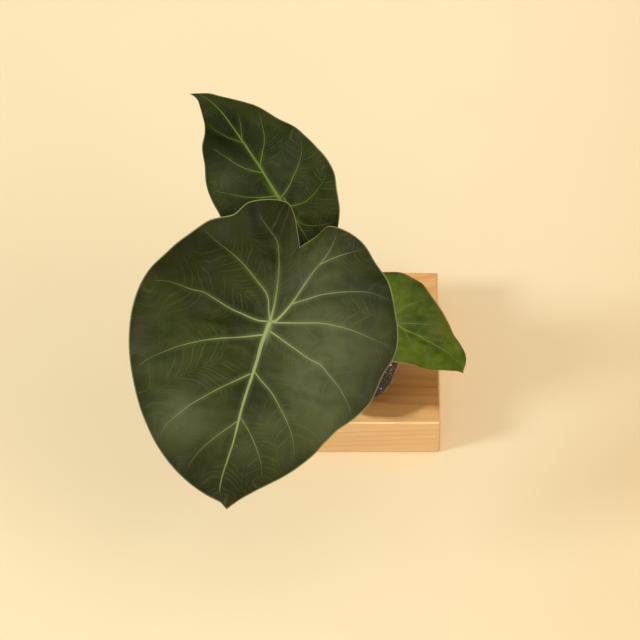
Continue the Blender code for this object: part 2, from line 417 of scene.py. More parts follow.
class Graph:
    """Adds nodes to one node tree and links them."""

    def __init__(self, tree: bpy.types.NodeTree) -> None:
        """Keep the tree."""
        self.tree = tree

    def add(self, kind: str, fed: dict | None = None, **settings: object) -> bpy.types.Node:
        """A new node of the kind.

        Args:
            kind: the node's type.
            fed: sockets or plain values by the name or the index of the input.
            settings: its properties by name.

        Returns:
            The node.
        """
        node = self.tree.nodes.new(kind)
        for name, value in settings.items():
            setattr(node, name, value)
        for name, value in (fed or {}).items():
            self.feed(node.inputs[name], value)
        return node

    def feed(self, socket: Socket, value: Socket | float | tuple) -> None:
        """Link a socket to the input, or set a plain value on it.

        Args:
            socket: the input.
            value: a socket to link, or the plain value to set.
        """
        if isinstance(value, bpy.types.NodeSocket):
            self.tree.links.new(value, socket)
        elif isinstance(value, tuple) and len(socket.default_value) == 4:
            socket.default_value = (*value, 1.0)
        else:
            socket.default_value = value

    def dress(self, shader: bpy.types.Node, **looks: Socket | float | tuple) -> None:
        """Feed the shader's inputs, each named with _ for a space."""
        for label, value in looks.items():
            self.feed(shader.inputs[label.replace("_", " ")], value)

    def maths(self, operation: str, *values: Socket | float, clamp: bool = False) -> Socket:
        """One Math node on up to three values, its result held to 0..1 where clamp is set."""
        fed = dict(enumerate(values))
        return self.add("ShaderNodeMath", fed, operation=operation, use_clamp=clamp).outputs[0]

    def times(self, first: Socket | float, second: Socket | float, *plus: Socket | float) -> Socket:
        """First times second, plus a third value where one is given."""
        return self.maths("MULTIPLY_ADD" if plus else "MULTIPLY", first, second, *plus)

    def blend(self, share: Socket | float, first: Socket | Colour, second: Socket | Colour) -> Socket:
        """Mix two colours by a share: 0 gives the first one, 1 the second."""
        return self.add("ShaderNodeMix", {0: share, 6: first, 7: second}, data_type="RGBA").outputs[2]

    def spread(self, value: Socket, low: float, high: float, to_low: float = 0.0,
               to_high: float = 1.0) -> Socket:
        """Map low..high smoothly onto to_low..to_high."""
        fed = dict(enumerate((value, low, high, to_low, to_high)))
        return self.add("ShaderNodeMapRange", fed, interpolation_type="SMOOTHSTEP").outputs[0]

    def attribute(self, name: str, output: str = "Fac") -> Socket:
        """A named value of the mesh."""
        return self.add("ShaderNodeAttribute", attribute_name=name).outputs[output]

    def position(self) -> Socket:
        """Object coordinates."""
        return self.add("ShaderNodeTexCoord").outputs["Object"]

    def axes(self, vector: Socket) -> bpy.types.NodeOutputs:
        """The vector's X, Y and Z."""
        return self.add("ShaderNodeSeparateXYZ", {0: vector}).outputs

    def stretched(self, vector: Socket, scale: Scale) -> Socket:
        """The vector scaled along each axis."""
        return self.add("ShaderNodeMapping", {"Vector": vector, "Scale": scale}).outputs[0]

    def noise(self, vector: Socket, scale: float, detail: float = 3.0, rough: float = 0.55) -> Socket:
        """Fractal noise, 0 to 1, with scale waves in one unit of the vector."""
        fed = {"Vector": vector, "Scale": scale, "Detail": detail, "Roughness": rough}
        return self.add("ShaderNodeTexNoise", fed).outputs[0]

    def cells(self, vector: Socket, scale: float, feature: str = "DISTANCE_TO_EDGE") -> Socket:
        """Distance in a Voronoi pattern of scale cells in one unit of the vector."""
        fed = {"Vector": vector, "Scale": scale}
        return self.add("ShaderNodeTexVoronoi", fed, feature=feature).outputs["Distance"]

    def dice(self, value: Socket) -> Socket:
        """A random number, 0 to 1, for each whole part of the value."""
        fed = {"W": self.maths("FLOOR", value)}
        return self.add("ShaderNodeTexWhiteNoise", fed, noise_dimensions="1D").outputs["Value"]

    def bump(self, height: Socket, depth: float, strength: float = 1.0) -> Socket:
        """Normal bent by a height, which rises by depth metres from 0 to 1."""
        fed = {"Strength": strength, "Distance": depth, "Height": height}
        return self.add("ShaderNodeBump", fed).outputs[0]

    def place(self, group: bpy.types.NodeTree, **values: Socket | float | tuple) -> bpy.types.Node:
        """A node that runs the group, with its inputs fed by name."""
        return self.add("ShaderNodeGroup", values, node_tree=group)


def effect(name: str, inputs: dict[str, str], outputs: dict[str, str]) -> tuple[Graph, dict, dict]:
    """Start a shader node group.

    Args:
        name: the group's name.
        inputs: socket name to "Float", "Vector" or "Color".
        outputs: the same for what it puts out.

    Returns:
        Its graph, its inputs' sockets inside the group and its outputs' sockets inside the group.
    """
    tree = bpy.data.node_groups.new(name, "ShaderNodeTree")
    for label, kind in inputs.items():
        tree.interface.new_socket(label, in_out="INPUT", socket_type=f"NodeSocket{kind}")
    for label, kind in outputs.items():
        tree.interface.new_socket(label, in_out="OUTPUT", socket_type=f"NodeSocket{kind}")
    graph = Graph(tree)
    return graph, graph.add("NodeGroupInput").outputs, graph.add("NodeGroupOutput").inputs


def venation_effect() -> bpy.types.NodeTree:
    """Fine pale lines of a blade: parallel side veins, the veins that collect them and a mesh.

    Phase counts the side veins along their main vein, so a line shows where its fraction is near
    one half. Between is 0 midway between two main veins and Apart tells how far off that place is.

    Returns:
        The node group.
    """
    graph, given, out = effect(
        "Venation", {"Phase": "Float", "Fine": "Float", "Between": "Float", "Apart": "Float",
                     "Position": "Vector"},
        {"Faint": "Float", "Height": "Float"})
    here = given["Position"]
    sway = graph.maths("SUBTRACT", graph.noise(here, 48.0), 0.5)
    phase = graph.times(sway, 2.6, given["Phase"])
    share = graph.maths("FRACT", phase)
    slope = graph.maths("ABSOLUTE", graph.times(share, 2.0, -1.0))
    crest = graph.maths("SUBTRACT", 1.0, slope)
    power = graph.spread(graph.dice(phase), 0.1, 0.9, 0.10, 1.0)
    patchy = graph.spread(graph.noise(here, 18.0, 2.0), 0.36, 0.62, 0.12, 1.0)
    strength = graph.times(power, patchy)
    thread = graph.times(graph.spread(crest, 0.78, 0.99), strength)
    thread = graph.times(thread, given["Fine"])
    bend = graph.maths("SUBTRACT", graph.noise(here, 130.0, 2.0), 0.5)
    middle = graph.maths("ABSOLUTE", graph.times(bend, 9.0, given["Between"]))
    collect = graph.times(graph.spread(middle, 0.25, 1.00, 0.45, 0.0),
                          graph.spread(given["Apart"], 3.0, 5.0, 1.0, 0.0))
    collect = graph.times(collect, patchy)
    net = graph.spread(graph.cells(here, 420.0), 0.0, 0.09, 0.12, 0.0)
    soft = graph.times(graph.spread(crest, 0.0, 1.0, 0.0, 0.38), strength)
    thread = graph.maths("MAXIMUM", thread, graph.times(soft, given["Fine"]))
    graph.feed(out["Faint"], graph.maths("MAXIMUM", graph.maths("MAXIMUM", thread, collect), net))
    quilt = graph.times(graph.spread(crest, 0.1, 1.0, 1.0, 0.0), given["Fine"])
    graph.feed(out["Height"], graph.times(net, -0.3, quilt))
    return graph.tree


def mottle_effect() -> bpy.types.NodeTree:
    """Uneven patches, 0 to 1: two sizes of noise about a half, drawn apart by the contrast.

    Returns:
        The node group.
    """
    graph, given, out = effect("Mottle", {"Position": "Vector", "Scale": "Float", "Contrast": "Float"},
                               {"Mask": "Float"})
    broad = graph.noise(given["Position"], 1.0, 2.0)
    fine = graph.noise(given["Position"], 1.0, 5.0, 0.65)
    for node, factor in zip((broad.node, fine.node), (1.0, 6.0)):
        graph.feed(node.inputs["Scale"], graph.times(given["Scale"], factor))
    both = graph.times(fine, 0.25, graph.times(broad, 0.75))
    away = graph.times(graph.maths("SUBTRACT", both, 0.5), given["Contrast"])
    graph.feed(out["Mask"], graph.maths("ADD", away, 0.5, clamp=True))
    return graph.tree


def streak_effect() -> bpy.types.NodeTree:
    """Thin streaks along a stalk, a root or a board, 0 to 1, from noise that is drawn out.

    The caller scales the vector, so that the noise is long along the grain and fine across it.

    Returns:
        The node group.
    """
    graph, given, out = effect("Streaks", {"Vector": "Vector", "Sharp": "Float"}, {"Mask": "Float"})
    lines = graph.noise(given["Vector"], 1.0, 4.0, 0.6)
    away = graph.times(graph.maths("SUBTRACT", lines, 0.5), given["Sharp"])
    graph.feed(out["Mask"], graph.maths("ADD", away, 0.5, clamp=True))
    return graph.tree


VENATION = venation_effect()
MOTTLE = mottle_effect()
STREAKS = streak_effect()


def principled(name: str, **constants: float | tuple) -> tuple[Material, Graph, bpy.types.Node]:
    """A new Principled material, with the plain values set on its shader's own sockets.

    Args:
        name: the material's name.
        constants: plain values by socket name, with _ for a space.

    Returns:
        The material, its graph and its shader node.
    """
    material = bpy.data.materials.new(name)
    material.use_nodes = True
    graph = Graph(material.node_tree)
    shader = material.node_tree.nodes["Principled BSDF"]
    graph.dress(shader, **constants)
    return material, graph, shader


def mottled(graph: Graph, here: Socket, scale: float, contrast: float) -> Socket:
    """Mask of the mottle effect."""
    return graph.place(MOTTLE, Position=here, Scale=scale, Contrast=contrast).outputs["Mask"]


def streaked(graph: Graph, vector: Socket, scale: Scale, sharp: float) -> Socket:
    """Mask of the streak effect on the vector, scaled along each axis."""
    return graph.place(STREAKS, Vector=graph.stretched(vector, scale), Sharp=sharp).outputs["Mask"]


# ---- finishes


def blade_veins(graph: Graph, here: Socket) -> bpy.types.Node:
    """The venation effect, fed with the values that the blade's mesh carries."""
    return graph.place(VENATION, Phase=graph.attribute("phase"), Fine=graph.attribute("fine"),
                       Between=graph.attribute("between"), Apart=graph.attribute("apart"), Position=here)


@dataclass(frozen=True)
class BladeFinish:
    """Upper face of a blade: green ground, pale veins, thin margin, satin skin, with painted sheen and
    painted shade in patches.
    """

    name: str
    deep: Colour
    light: Colour
    vein: Colour
    vein_end: Colour
    vein_sheen: Colour
    faint: Colour
    margin: Colour
    margin_red: Colour
    brown_and_shade: Colour
    painted_sheen: Colour
    rough: float = 0.42
    faint_strength: float = 0.5

    def build(self) -> Material:
        """Make the material from the blade's values: vein, far, edge, brown_and_shade and those of its veins.

        Returns:
            The material.
        """
        material, graph, shader = principled(self.name, Specular_IOR_Level=0.10)
        here = graph.position()
        mottle = mottled(graph, here, 20.0, 3.6)
        veins = blade_veins(graph, here)
        uneven = graph.times(mottle, 0.95)
        # Painted shade in the valleys: the ground is darker within a few millimetres of the main veins, and
        # darker along the margin too.
        full = graph.times(graph.attribute("full"), 0.12, uneven)
        ground = graph.blend(graph.spread(full, 0.1, 1.0), self.deep, self.light)
        # Painted sheen: a mottled grey-green tint where the sheen patches lie stands in for soft light
        # reflected off the blade.
        film = mottled(graph, here, 44.0, 1.7)
        film = graph.times(graph.attribute("painted_sheen"), graph.spread(film, 0.1, 0.8, 0.52, 1.0))
        ground = graph.blend(film, ground, self.painted_sheen)
        # Brown patches mixed with painted shade, where the spots lie.
        ground = graph.blend(graph.attribute("brown_and_shade"), ground, self.brown_and_shade)
        faint = graph.times(veins.outputs["Faint"], self.faint_strength)
        ground = graph.blend(faint, ground, self.faint)
        line = graph.blend(graph.attribute("far"), self.vein, self.vein_end)
        # Painted sheen also greys the veins there.
        line = graph.blend(graph.times(graph.attribute("painted_sheen"), 0.75), line, self.vein_sheen)
        pale = graph.attribute("vein")
        ground = graph.blend(pale, ground, line)
        patch = graph.spread(graph.noise(here, 16.0, 2.0), 0.42, 0.58)
        rim = graph.spread(graph.attribute("edge"), 0.30, 1.30, 0.90, 0.0)
        ground = graph.blend(rim, ground, graph.blend(patch, self.margin, self.margin_red))
        matt = graph.spread(mottle, 0.0, 1.0, self.rough - 0.05, self.rough + 0.06)
        height = graph.times(graph.noise(here, 900.0, 2.0), 0.15, veins.outputs["Height"])
        graph.dress(shader, Base_Color=ground, Roughness=graph.times(pale, 0.06, matt),
                    Normal=graph.bump(height, 0.00006, 0.8))
        return material


@dataclass(frozen=True)
class UndersideFinish:
    """Under face of a blade: paler and matt, with the fine veins standing out."""

    name: str
    deep: Colour
    light: Colour
    vein: Colour
    brown_and_shade: Colour

    def build(self) -> Material:
        """Make the material from the blade's values: vein, brown_and_shade and those of its veins.

        Returns:
            The material.
        """
        material, graph, shader = principled(self.name, Specular_IOR_Level=0.35)
        here = graph.position()
        mottle = mottled(graph, here, 34.0, 1.6)
        veins = blade_veins(graph, here)
        ground = graph.blend(mottle, self.deep, self.light)
        # The spots' brown patches and painted shade show on the under face too.
        ground = graph.blend(graph.attribute("brown_and_shade"), ground, self.brown_and_shade)
        ground = graph.blend(graph.times(veins.outputs["Faint"], 0.55), ground, self.vein)
        ground = graph.blend(graph.attribute("vein"), ground, self.vein)
        upside = graph.times(veins.outputs["Height"], -1.0)
        graph.dress(shader, Base_Color=ground, Roughness=graph.spread(mottle, 0.0, 1.0, 0.52, 0.66),
                    Normal=graph.bump(upside, 0.00010, 0.8))
        return material


@dataclass(frozen=True)
class StalkFinish:
    """Skin of a petiole or of the stem: green with long streaks, brown towards its foot."""

    name: str
    green: Colour
    pale: Colour
    brown: Colour

    def build(self) -> Material:
        """Make the material. It reads the vector strand and the value foot.

        Returns:
            The material.
        """
        material, graph, shader = principled(self.name, Specular_IOR_Level=0.5, Coat_Weight=0.15,
                                             Coat_Roughness=0.25)
        strand = graph.attribute("strand", "Vector")
        streaks = streaked(graph, strand, (9.0, 9.0, 28.0), 2.4)
        flecks = streaked(graph, strand, (16.0, 16.0, 420.0), 3.4)
        ground = graph.blend(streaks, self.green, self.pale)
        spots = graph.spread(flecks, 0.66, 0.90, 0.0, 0.55)
        ground = graph.blend(spots, ground, self.brown)
        ragged = graph.times(streaks, 0.5, graph.attribute("foot"))
        ground = graph.blend(graph.spread(ragged, 0.45, 1.15), ground, self.brown)
        graph.dress(shader, Base_Color=ground, Roughness=graph.spread(streaks, 0.0, 1.0, 0.34, 0.50),
                    Normal=graph.bump(streaks, 0.00025, 0.8))
        return material


@dataclass(frozen=True)
class WoodFinish:
    """Sanded pale softwood, its grain along X. The mesh counts the growth rings.

    The top carries painted shade: every upward face is painted a darker brown. Each scale stretches a pattern
    along and across the grain.
    """

    early: Colour = (0.73, 0.49, 0.245)
    late: Colour = (0.50, 0.26, 0.09)
    stain: Colour = (0.60, 0.31, 0.11)
    top_shade: Colour = (0.400, 0.178, 0.039)
    top_shade_late: Colour = (0.225, 0.082, 0.016)
    sway: Scale = (6.0, 55.0, 55.0)
    fibre: Scale = (26.0, 900.0, 900.0)
    board: Scale = (3.0, 42.0, 42.0)
    pore: Scale = (700.0, 700.0, 700.0)

    def build(self) -> Material:
        """Make the material. It reads the block's values ring, end, worn and upper.

        Returns:
            The material.
        """
        material, graph, shader = principled("softwood", Specular_IOR_Level=0.35)
        here = graph.position()
        ring = graph.attribute("ring")
        sway = graph.noise(graph.stretched(here, self.sway), 1.0, 3.0)
        phase = graph.times(sway, 1.1, ring)
        share = graph.maths("FRACT", phase)
        ending = graph.spread(share, 0.93, 1.0, 1.0, 0.0)
        late = graph.times(graph.spread(share, 0.35, 0.90), ending)
        late = graph.times(late, graph.spread(graph.dice(phase), 0.0, 1.0, 0.25, 0.95))
        fibres = streaked(graph, here, self.fibre, 2.0)
        broad = streaked(graph, here, self.board, 2.6)
        pores = streaked(graph, here, self.pore, 3.0)
        cut = graph.attribute("end")
        ground = graph.blend(graph.times(late, 0.50), self.early, self.late)
        ground = graph.blend(graph.times(broad, 0.45), ground, self.stain)
        ground = graph.blend(graph.times(fibres, 0.22), ground, self.late)
        dark_end = graph.times(cut, graph.spread(pores, 0.2, 0.9, 0.15, 0.45))
        ground = graph.blend(dark_end, ground, self.late)
        grain = graph.times(late, 0.45, graph.times(fibres, 0.35))
        # Painted shade: the upward faces are mostly replaced by a dark brown, so that the top reads as
        # shaded.
        top_shade = graph.spread(broad, 0.0, 1.0, 0.80, 0.99)
        top_shade = graph.times(graph.attribute("upper"), top_shade)
        ground = graph.blend(top_shade, ground, graph.blend(grain, self.top_shade, self.top_shade_late))
        worn = graph.times(graph.attribute("worn"), graph.spread(broad, 0.2, 0.8))
        ground = graph.blend(graph.times(worn, 0.5), ground, self.stain)
        height = graph.times(late, 0.6, graph.times(fibres, 0.5))
        graph.dress(shader, Base_Color=ground, Roughness=graph.spread(late, 0.0, 1.0, 0.62, 0.48),
                    Normal=graph.bump(height, 0.0002, 0.6))
        return material


@dataclass(frozen=True)
class ClearFinish:
    """Thin clear moulded plastic: it shows at grazing angles, where it is scuffed and on its band.

    The band tells between which heights above the pot's underside the wall gets thicker.
    """

    tint: Colour = (0.86, 0.88, 0.86)
    dull: Colour = (0.72, 0.74, 0.72)
    band: tuple[float, float] = (0.0585, 0.0600)

    def build(self) -> Material:
        """Make the material.

        Returns:
            The material.
        """
        material, graph, shader = principled("clear_plastic", Specular_IOR_Level=0.6, IOR=1.49)
        here = graph.position()
        scuffs = streaked(graph, here, (120.0, 120.0, 900.0), 3.0)
        haze = mottled(graph, here, 40.0, 2.0)
        grazing = graph.add("ShaderNodeLayerWeight", {"Blend": 0.28})
        film = graph.spread(haze, 0.2, 0.9, 0.010, 0.030)
        film = graph.times(graph.spread(scuffs, 0.75, 1.0), 0.04, film)
        edge = graph.times(graph.maths("POWER", grazing.outputs["Facing"], 6.0), 0.40)
        low, high = (POT_CENTRE[2] + height for height in self.band)
        rim = graph.spread(graph.axes(here)["Z"], low, high, 0.0, 0.17)
        edge = graph.maths("ADD", edge, rim)
        graph.dress(shader, Base_Color=graph.blend(haze, self.tint, self.dull),
                    Roughness=graph.spread(haze, 0.0, 1.0, 0.08, 0.20),
                    Alpha=graph.maths("ADD", film, edge, clamp=True),
                    Normal=graph.bump(scuffs, 0.00005, 0.4))
        return material


@dataclass(frozen=True)
class MixFinish:
    """Damp dark potting mix: crumbs, brown fibre and a little gloss where it is wet."""

    dark: Colour = (0.012, 0.007, 0.006)
    brown: Colour = (0.036, 0.019, 0.014)

    def build(self) -> Material:
        """Make the material.

        Returns:
            The material.
        """
        material, graph, shader = principled("potting_mix", Specular_IOR_Level=0.15)
        here = graph.position()
        clods = mottled(graph, here, 120.0, 3.0)
        crumbs = graph.cells(here, 650.0, "F1")
        ground = graph.blend(clods, self.dark, self.brown)
        # upper marks the upward faces, which the finish darkens with painted shade.
        ground = graph.blend(graph.spread(crumbs, 0.2, 0.7, 0.0, 0.6), ground, self.dark)
        graph.dress(shader, Base_Color=ground, Roughness=graph.spread(clods, 0.0, 1.0, 0.55, 0.95),
                    Normal=graph.bump(graph.maths("ADD", clods, crumbs), 0.0008, 0.9))
        return material


@dataclass(frozen=True)
class GrainFinish:
    """Grains of one sort, each with its own shade: perlite or crumbs of bark."""

    name: str
    first: Colour
    second: Colour
    dirt: Colour
    dirty: float
    rough: float

    def build(self) -> Material:
        """Make the material. It reads the value grain.

        Returns:
            The material.
        """
        material, graph, shader = principled(self.name, Specular_IOR_Level=0.3, Roughness=self.rough)
        here = graph.position()
        ground = graph.blend(graph.attribute("grain"), self.first, self.second)
        dirt = mottled(graph, here, 260.0, 3.2)
        dirt = graph.times(graph.spread(dirt, 0.45, 0.85), self.dirty)
        graph.dress(shader, Base_Color=graph.blend(dirt, ground, self.dirt),
                    Normal=graph.bump(graph.cells(here, 1400.0, "F1"), 0.0003, 0.8))
        return material


@dataclass(frozen=True)
class RootFinish:
    """Fine roots: cream at the tip, tan and dirty further back."""

    young: Colour = (0.62, 0.47, 0.29)
    old: Colour = (0.27, 0.15, 0.075)

    def build(self) -> Material:
        """Make the material. It reads the vector strand.

        Returns:
            The material.
        """
        material, graph, shader = principled("fine_roots", Specular_IOR_Level=0.3, Roughness=0.6)
        strand = graph.attribute("strand", "Vector")
        patch = streaked(graph, strand, (1.0, 1.0, 160.0), 2.6)
        graph.dress(shader, Base_Color=graph.blend(patch, self.young, self.old),
                    Normal=graph.bump(patch, 0.0001, 0.5))
        return material


# ---- leaves


SLIM = 0.78  # all main veins are drawn this much slimmer than their forms say


@dataclass(frozen=True)
class Vein:
    """One main vein: its course in the leaf's own frame and its half-width at both ends, all in mm.

    Dull tells how much of its paleness it loses on its way to the margin.
    """

    course: Rows
    wide: float
    narrow: float
    dull: float = 0.95

    def half_width(self, share: Array) -> Array:
        """Half-width at a share of the course: it falls from wide to narrow as share^0.75."""
        return SLIM * (self.wide + (self.narrow - self.wide) * share**0.75)


@dataclass(frozen=True)
class LeafForm:
    """Shape of one blade, in millimetres and degrees, and where it stands in the frame.

    Fields:
        node: CAD node that it stands for.
        slot: material slot.
        navel, face, heading: where the petiole meets the blade in metres, which way the upper face
            looks, and the compass direction of the tip.
        right, left: rows of (degrees from the tip, reach) on the +x and on the -x side.
        tip_droop, lobe_droop, side_droop, fold: bends of the blade as a whole.
        ripple, waves, swing: height, count and phase of the waves of the margin.
        hook: how far the tip is bent to the side.
        veins: main veins, the midrib first.
        spacing: distance between fine side veins along a main vein.
        pillow: how far the blade swells up between its veins.
        spots: rows of (x, y, radius, amount) where the blade is painted darker, partly real browning and
            partly painted shade.
        sheen_patches: the same for painted sheen, a grey-green tint that stands in for soft reflected light.
        curls: rows of (degrees from the tip, spread, height) where the margin turns up.
    """

    node: str
    slot: Slot
    navel: Place
    face: Place
    heading: float
    right: Rows
    left: Rows
    tip_droop: float
    lobe_droop: float
    side_droop: float
    fold: float
    ripple: float
    waves: int
    swing: float
    hook: float
    veins: tuple[Vein, ...]
    spacing: float
    pillow: float
    spots: Rows
    sheen_patches: Rows
    curls: Rows
    columns: int
    rows: int
    seed: int


class LeafBlade:
    """One blade: a closed skin round the navel and, through it, the ribs of its main veins."""

    crowding = 0.45  # how far the rays of the grid lean towards the tip and the sinus
    hook_start = 0.90  # share of the reach where the tip starts to bend
    skin = 0.75  # thickness of the blade
    margin = 0.42  # thickness at its margin
    bead = 0.10  # how far the margin's bead stands proud
    swells = (1.6, 42.0)  # height and length of the broad swells, for a blade of usual size
    ripples = (0.35, 0.45, 20.0)  # height everywhere, more of it inside the blade, and length
    crimp = (0.7, 32.0)  # height and length of the margin's crimps
    usual_tip = 150.0  # reach of the tip of a blade of usual size
    valley = 6.0  # width of the slope from a main vein up to the swell beside it
    halo = (0.15, 3.2)  # strength and width of the pale line beside a main vein
    navel_glow = (0.55, 3.2, 5.0, 13.0)  # strength, half-width, middle and half-length of the pale navel
    slant = (0.30, 0.020)  # how side veins lean towards the tip, and how that grows with the distance
    vein_end = 0.972  # share of the reach where a main vein ends
    innermost = 0.008  # share of the reach at the loop next to the navel
    under_rows = 64
    rib_sides = 14
    rib_sunk = 0.10
    rim_steps = (2.2, 1.4, 0.8, 0.4, 0.15)  # last loops, as distances from the margin

    def __init__(self, form: LeafForm, upper: BladeFinish, under: UndersideFinish) -> None:
        """Read the form and work out its frame and the courses of its veins.

        Args:
            form: shape and place of the blade.
            upper, under: finishes of its two faces.
        """
        self.form = form
        self.finishes = (upper, under)
        self.tables = [np.array(form.left), np.array(form.right)]
        self.tip = form.right[0][1]
        face = Vector(form.face).normalized()
        heading = math.radians(form.heading)
        flat = Vector((math.cos(heading), math.sin(heading), 0.0))
        tip = Vector((flat.x, flat.y, -flat.dot(face) / face.z)).normalized()
        self.axes = np.array([tip.cross(face), tip, face])
        self.courses = [self.clipped(evenly(through(np.array(vein.course), 80), 60)) for vein in form.veins]

    def to_world(self, points: Array) -> Array:
        """Places of the leaf's own frame, in millimetres, as places of the shared frame in metres."""
        return points * MM @ self.axes + np.array(self.form.navel)

    def reach(self, angle: Array) -> Array:
        """Reach of the outline at signed degrees from the tip, right side positive."""
        left, right = self.tables
        return np.where(angle < 0, reach_at(left, -angle), reach_at(right, angle))

    def polar(self, flat: Array) -> tuple[Array, Array, Array]:
        """Where places lie within the outline.

        Args:
            flat: (n, 2) places.

        Returns:
            Signed degrees from the tip, distance from the navel and share of the reach, (n,) each.
        """
        angle = np.degrees(np.arctan2(flat[:, 0], flat[:, 1]))
        angle = np.where(angle < -self.form.left[-1][0], angle + 360, angle)
        far = np.linalg.norm(flat, axis=1)
        return angle, far, far / self.reach(angle)

    def clipped(self, course: Array) -> Array:
        """The part of a course that stays inside the outline, cut where it comes near the margin.

        Args:
            course: (n, 2) places.

        Returns:
            60 places an equal length apart.
        """
        share = self.polar(course)[2]
        past = share > self.vein_end
        keep = int(np.argmax(past)) if past.any() else len(course)
        return evenly(course[:keep], 60)

    def swell(self, flat: Array) -> Array:
        """Height of the upper face without its veins, in millimetres.

        The tip, the back lobes and the sides droop as squares of the distance, the blade folds up
        from its midrib and the margin waves. Two fields of soft swells and a crimped margin are
        added on top of that.

        Args:
            flat: (n, 2) places.

        Returns:
            (n,) heights.
        """
        form = self.form
        x, y = flat.T
        angle, far, share = self.polar(flat)
        lobe, half = 0.62 * self.tip, 0.70 * self.tip
        along = np.where(y > 0, form.tip_droop * (y / self.tip)**2, form.lobe_droop * (y / lobe)**2)
        across = form.fold * (np.sqrt((x / half)**2 + 0.01) - 0.1) - form.side_droop * (x / half)**2
        waves = form.ripple * share**4 * np.sin(form.waves * np.radians(angle) + form.swing)
        size = self.tip / self.usual_tip
        inside = 1 - eased(0.70, 0.95, share)
        broad, broad_length = self.swells
        everywhere, more_inside, fine_length = self.ripples
        soft = broad * wander(flat, broad_length * size, form.seed)
        soft = soft + (everywhere + more_inside * inside) * wander(flat, fine_length * size, form.seed + 1)
        crimp = self.crimp[0] * share**8 * wander(flat, self.crimp[1] * size, form.seed + 2)
        turn, spread, height = np.array(form.curls, dtype=float).T
        curl = (height * np.exp(-((angle[:, None] - turn) / spread)**2)).sum(axis=1)
        curl = curl * eased(0.72, 1.05, share)
        return across - along + waves + curl + (soft * eased(0, 28, far) + crimp) * size

    def hooked(self, flat: Array) -> Array:
        """Bend the tip to the side: x grows with the square of the distance past the hook's start."""
        past = np.maximum(flat[:, 1] / self.tip - self.hook_start, 0.0) / (1 - self.hook_start)
        return flat + np.column_stack([self.form.hook * past**2, np.zeros(len(flat))])

    def gaps(self, flat: Array) -> dict[str, Array]:
        """How the nearest two main veins lie to each place.

        Args:
            flat: (n, 2) places.

        Returns:
            gap: distance to the nearest vein's edge; between: signed and apart: plain difference
            to the second nearest; phase: count of fine side veins, which leave their vein at a
            slant and curve towards the tip.
        """
        nearest = np.full((2, len(flat)), 1e3)
        index = np.zeros((2, len(flat)))
        phase = np.zeros(len(flat))
        for number, (course, vein) in enumerate(zip(self.courses, self.form.veins)):
            start, step = course[:-1], np.diff(course, axis=0)
            size = (step**2).sum(axis=1)
            away = flat[:, None, :] - start
            share = np.clip((away * step).sum(axis=2) / size, 0, 1)
            apart = ((away - share[..., None] * step)**2).sum(axis=2)
            best = apart.argmin(axis=1)
            spot = best + np.take_along_axis(share, best[:, None], axis=1)[:, 0]
            along = spot * math.sqrt(size.mean())
            gap = np.sqrt(apart.min(axis=1)) - vein.half_width(spot / len(step))
            slant = along - self.slant[0] * np.maximum(gap, 0) - self.slant[1] * np.maximum(gap, 0)**2
            closer = gap < nearest[0]
            second = ~closer & (gap < nearest[1])
            phase = np.where(closer, slant / self.form.spacing + 0.37 * number, phase)
            nearest[1] = np.where(closer, nearest[0], np.where(second, gap, nearest[1]))
            index[1] = np.where(closer, index[0], np.where(second, number, index[1]))
            nearest[0] = np.where(closer, gap, nearest[0])
            index[0] = np.where(closer, number, index[0])
        apart = nearest[1] - nearest[0]
        between = apart * np.sign(index[0] - index[1])
        return {"gap": nearest[0], "between": between, "apart": apart, "phase": phase}

    def patches(self, flat: Array, rows: Rows) -> Array:
        """Sum of soft round patches: amount times exp(-(distance / radius)^2), held to 0..1.

        Args:
            flat: (n, 2) places.
            rows: the patches, each (x, y, radius, amount).

        Returns:
            (n,) values.
        """
        x, y, radius, amount = np.array(rows, dtype=float).T
        away = (flat[:, :1] - x)**2 + (flat[:, 1:] - y)**2
        return np.clip((amount * np.exp(-away / radius**2)).sum(axis=1), 0, 1)

    def values(self, flat: Array) -> tuple[dict[str, Array], Array]:
        """What the finish reads at each place of the skin, and how far the skin swells there.

        Args:
            flat: (n, 2) places.

        Returns:
            The values by name, and (n,) swelling in millimetres.
        """
        form = self.form
        _, far, share = self.polar(flat)
        near = self.gaps(flat)
        gap, apart = np.maximum(near["gap"], 0), near["apart"]
        edge = np.clip(far / np.maximum(share, 1e-6) - far, 0, 30)
        strength, width = self.halo
        halo = strength * (1 - eased(0.0, width, gap)) * (1 - 0.7 * eased(0.4, 0.9, share))
        glow, across, middle, along = self.navel_glow
        navel = glow * np.exp(-(flat[:, 0] / across)**2 - ((flat[:, 1] - middle) / along)**2)
        fine = eased(0.5, 2.6, gap) * eased(1.0, 4.5, apart) * eased(0.5, 3.5, edge) * eased(5, 14, far)
        # Brown patches mixed with painted shade, and patches of painted sheen.
        brown_and_shade, painted_sheen = self.patches(flat, form.spots), self.patches(flat, form.sheen_patches)
        slope = 1 - np.exp(-(np.maximum(gap - 0.7, 0) / self.valley)**2)
        swelling = form.pillow * slope * eased(2, 12, far)
        swelling -= 0.28 * (1 - eased(0.0, 3.0, apart)) * eased(3, 8, gap)
        swelling -= 0.012 * fine * np.cos(TURN * near["phase"])
        # full falls towards the main veins and the margin, where the finish paints shade.
        full = eased(1.0, 8.0, gap) * eased(0, 9, edge)
        pale = np.maximum(halo, navel * self.tip / self.usual_tip)
        values = {"vein": pale, "full": full, "far": np.clip(share, 0, 1), "edge": edge, "brown_and_shade": brown_and_shade,
                  "painted_sheen": painted_sheen, "phase": near["phase"], "fine": fine, "between": near["between"],
                  "apart": apart}
        return values, swelling

